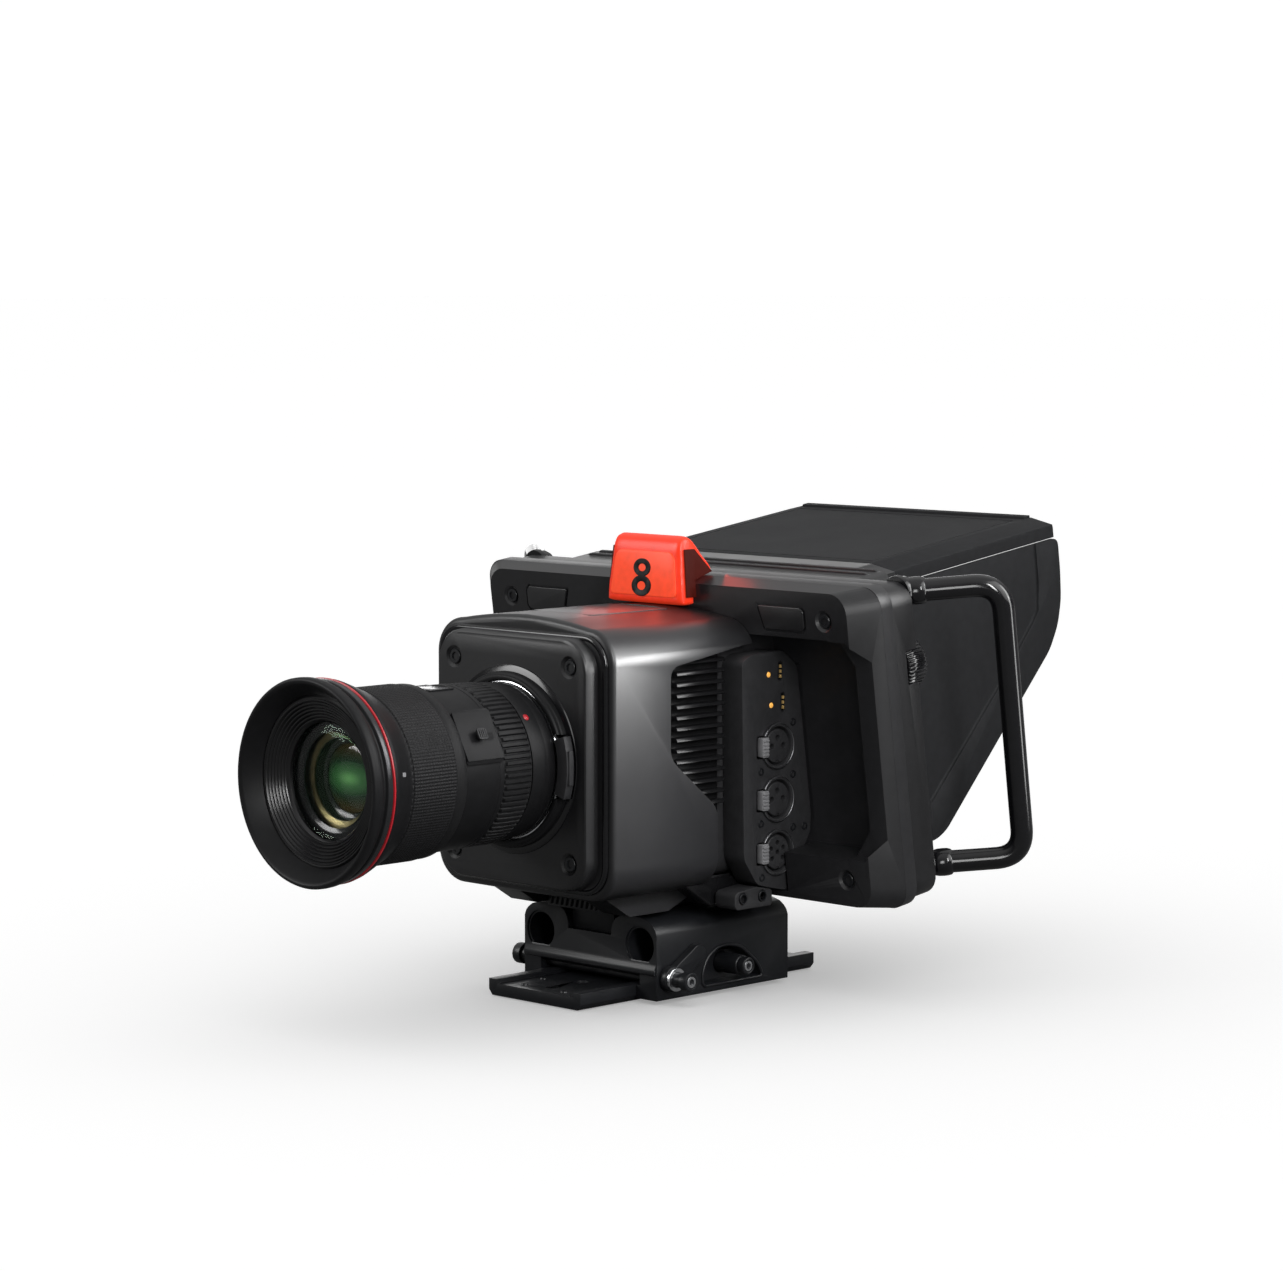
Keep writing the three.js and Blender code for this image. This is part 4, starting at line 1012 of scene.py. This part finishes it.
# ---------------------------------------------------------------- sun hood
def make_hood():
    for side, name, hinge in ((1, "right", 43), (-1, "left", 46)):
        outline = [(hinge, -112), (72, -112), (79, -109.5), (158.5, -46), (165.4, -36), (169, -25), (170, -12),
                   (170, 2.8), (hinge, 2.8)]
        panel = prism(f"hood_{name}_fine", "x", rounded_outline(outline, 4, 5), side * 80.2, side * 82, HOUSING)
        seam = [(70.5, -94.4), (122.6, -53.3), (136.7, -40.5), (147.5, -31), (151.7, -26.5), (153.4, -14),
                (153.4, 6)]
        cut(panel, tube("cutter", [(side * 82, w, v) for w, v in seam], 1.1, sides=3, matrix=HOUSING))
        edge = tube("edge", [(side * 81, hinge, -112), (side * 81, hinge, 2.8)], 1.5, matrix=HOUSING)
        join(panel, edge)
        stand_for(panel, bevel=0.12, segments=2, angle=35)
    roof = prism("hood_top_fine", "y", [
        (-79.7, 6.4), (-79.7, 8.6), (-68, 11.2), (68, 11.2), (79.7, 8.6), (79.7, 6.4), (67.8, 9), (-67.8, 9)],
        61.7, 170, HOUSING)
    softened(roof, 0.3, 2, 12)
    for side in (1, -1):
        # Short near the hinge, so it clears the brow when the roof is folded down.
        across = (side * 77.9, side * 79.7)
        join(roof, block("edge", across, (64, 76), (3.6, 7.6), HOUSING))
        join(roof, block("edge", across, (75, 170), (2.82, 7.6), HOUSING))
        join(roof, rod("knuckle", "x", 2.3, side * 40, side * 60, *ROOF_HINGE, 32, HOUSING))
        join(roof, block("arm", (side * 40, side * 60), (62.4, 68), (6, 9.6), HOUSING))
    groove = [(-64, 67, 11.5), (64, 67, 11.5), (64, 161, 11.5), (-64, 161, 11.5)]
    cut(roof, tube("cutter", groove, 0.7, closed=True, sides=3, matrix=HOUSING))
    cut(roof, rod("cutter", "x", 1.5, -70, 70, *ROOF_HINGE, 24, HOUSING))
    stand_for(roof)
    lip = prism("hood_rear_lip", "x", [(165.5, 11), (170, 11), (170, 12.2), (166, 12.2)], -67, 67, HOUSING)
    finish(lip, "hood_plastic", "top_flap", bevel=0.3)
    refine("hood_hinge_pin", 0.2)


# ---------------------------------------------------------------- tally lamp
def make_tally():
    lamp = copied("tally_body", flatten=False)
    remesh = lamp.modifiers.new("remesh", "REMESH")
    remesh.mode = "VOXEL"
    remesh.voxel_size = 1.0 * MM
    smooth = lamp.modifiers.new("smooth", "SMOOTH")
    smooth.factor = 0.5
    smooth.iterations = 34
    stand_for(baked(lamp), sharp=80)
    for name in ("right", "left"):
        refine(f"tally_side_{name}", 0.3)
    lean = atan2(1.6, 24.6)
    face = Matrix.Translation((0, -7, 164.4)) @ Matrix.Rotation(-lean, 4, "X")
    outline = [(-19.8, 3.4), (19.8, 3.4), (17.9, 19.8), (15.4, 22.6), (-15.4, 22.6), (-17.9, 19.8)]
    panel = prism("tally_face", "y", rounded_outline(outline, 2.4, 5), -0.45, 0.6, face)
    finish(panel, "tally_lens", bevel=0.4, look="tally_face")
    for i, (z, across, up) in enumerate(((15.4, 5.1, 3.9), (7.6, 5.8, 4.5))):
        shape = Matrix.Translation((-1.0, -0.45, z)) @ Matrix.Diagonal((across, 1, up, 1))
        loop = round_piece(f"figure_loop_{i + 1}", [
            (0.42, -0.1), (0.48, -0.3), (0.95, -0.3), (1, -0.1), (1, 0.8), (0.42, 0.8)], face @ shape, 64)
        finish(loop, "panel_plastic", look="figure_ink")


# ---------------------------------------------------------------- base
def make_base():
    refine("tray_plate", 0.6)
    half = [(28.2, 7.6), (28.2, 2.3), (27.3, 1.3), (40, 1.3), (40, 29), (39.2, 31.2), (37.6, 33), (35.2, 34.6),
            (31, 35.7), (24, 36), (18.8, 35.4), (15.6, 33.8), (13.8, 31.2), (13, 28.4), (13, 26.3)]
    outline = half + [(-x, z) for x, z in reversed(half)]
    rod_block = prism("rod_block_fine", "y", outline, -39.2, 41.7)
    for side in (1, -1):
        cut(rod_block, rod("cutter", "y", 7.6, -50, 50, side * ROD_X, ROD_Z, 72))
        cut(rod_block, rod("cutter", "y", 8.5, -50, -38.4, side * ROD_X, ROD_Z, 72))
    cut(rod_block, prism("cutter", "x", [(-41, 12), (-39.2, 12), (-30.2, 7), (-41, 7)], -30, 30))
    nose = [(-39, 17.5), (-39.5, 15.6), (-40, 14.6), (-40.3, 13.4), (-40, 12.3), (-39, 11.6), (-37, 11.4)]
    join(rod_block, prism("nose", "x", nose, -39.5, 39.5))
    cut(rod_block, rod("cutter", "x", 3.6, -60, 60, *CLAMP_AXIS, 32))
    pocket = [(-11, 4.7), (-11, 10), (-8, 16), (-2, 19.6), (5, 19.9), (12, 18), (22, 10), (25, 4.7)]
    cut(rod_block, prism("cutter", "x", pocket, 33, 41), rod("cutter", "x", 4.8, 29, 34, *RELEASE_AXIS, 32))
    stand_for(rod_block, bevel=0.9, segments=4)
    surround = rounded_path([(40, y, z) for y, z in grown(pocket, 0.6)], 3, 5, closed=True)
    finish(tube("plunger_surround", surround, 0.75, closed=True), "anodised")
    neck = copied("neck_riser", flatten=False)
    for i in range(13):
        x = -18 + 3 * i
        rib = prism("rib", "y", [(x, 37.2), (x + 1.3, 37.2), (x + 3.4, 46.6), (x + 2.1, 46.6)], -45.9, -44.5)
        join(neck, rib)
    stand_for(neck, bevel=0.35, segments=2)
    for i, (x, y) in enumerate(((-12, -66), (12, -66), (-17, -50), (17, -50))):
        screw(f"tray_screw_{i + 1}", (x, y, 5.2), (0, 0, 1), 1.7, depth=-0.5, body="tray")
    make_clamp()


def make_clamp():
    for node, bevel in (("clamp_shaft", 0.4), ("clamp_lever", 0.9), ("release_plunger", 0.6)):
        refine(node, bevel)
    for node, x, axis, r, deep, body in (("clamp_cap_screw", 54.2, CLAMP_AXIS, 4.1, 3.9, "clamp"),
                                         ("release_cap_screw", 49.6, RELEASE_AXIS, 3.8, 3.3, "plunger")):
        cap = round_piece(node + "_fine", [
            (0, 0.7), (0.66 * r, 0.7), (0.72 * r, 0.1), (0.8 * r, 0), (0.94 * r, 0.2), (r, 0.6), (r, deep),
            (0, deep)], facing((x, *axis), (1, 0, 0)))
        stand_for(cap, look="anodised")
        screw(node + "_socket", (x, *axis), (1, 0, 0), 0.66 * r, 0.1, body, "bright_steel")
    ring = round_piece("clamp_collar_ring", [
        (3.4, -0.7), (4.8, -0.7), (5, -0.5), (5, 0.5), (4.8, 0.7), (3.4, 0.7)],
        facing((45, *CLAMP_AXIS), (1, 0, 0)))
    finish(ring, "bright_steel", "clamp")


for make in (make_front, make_focus, make_switches, make_zoom, make_rear, make_body, make_front_plate, make_vents,
             make_ports, make_left_ports, make_housing, make_screen, make_hood, make_tally, make_base):
    make()
for node, bevel in (("sensor_block", 0.4), ("main_board", 0.2), ("fan_frame", 0.4), ("fan_rotor", 0.2)):
    refine(node, bevel)
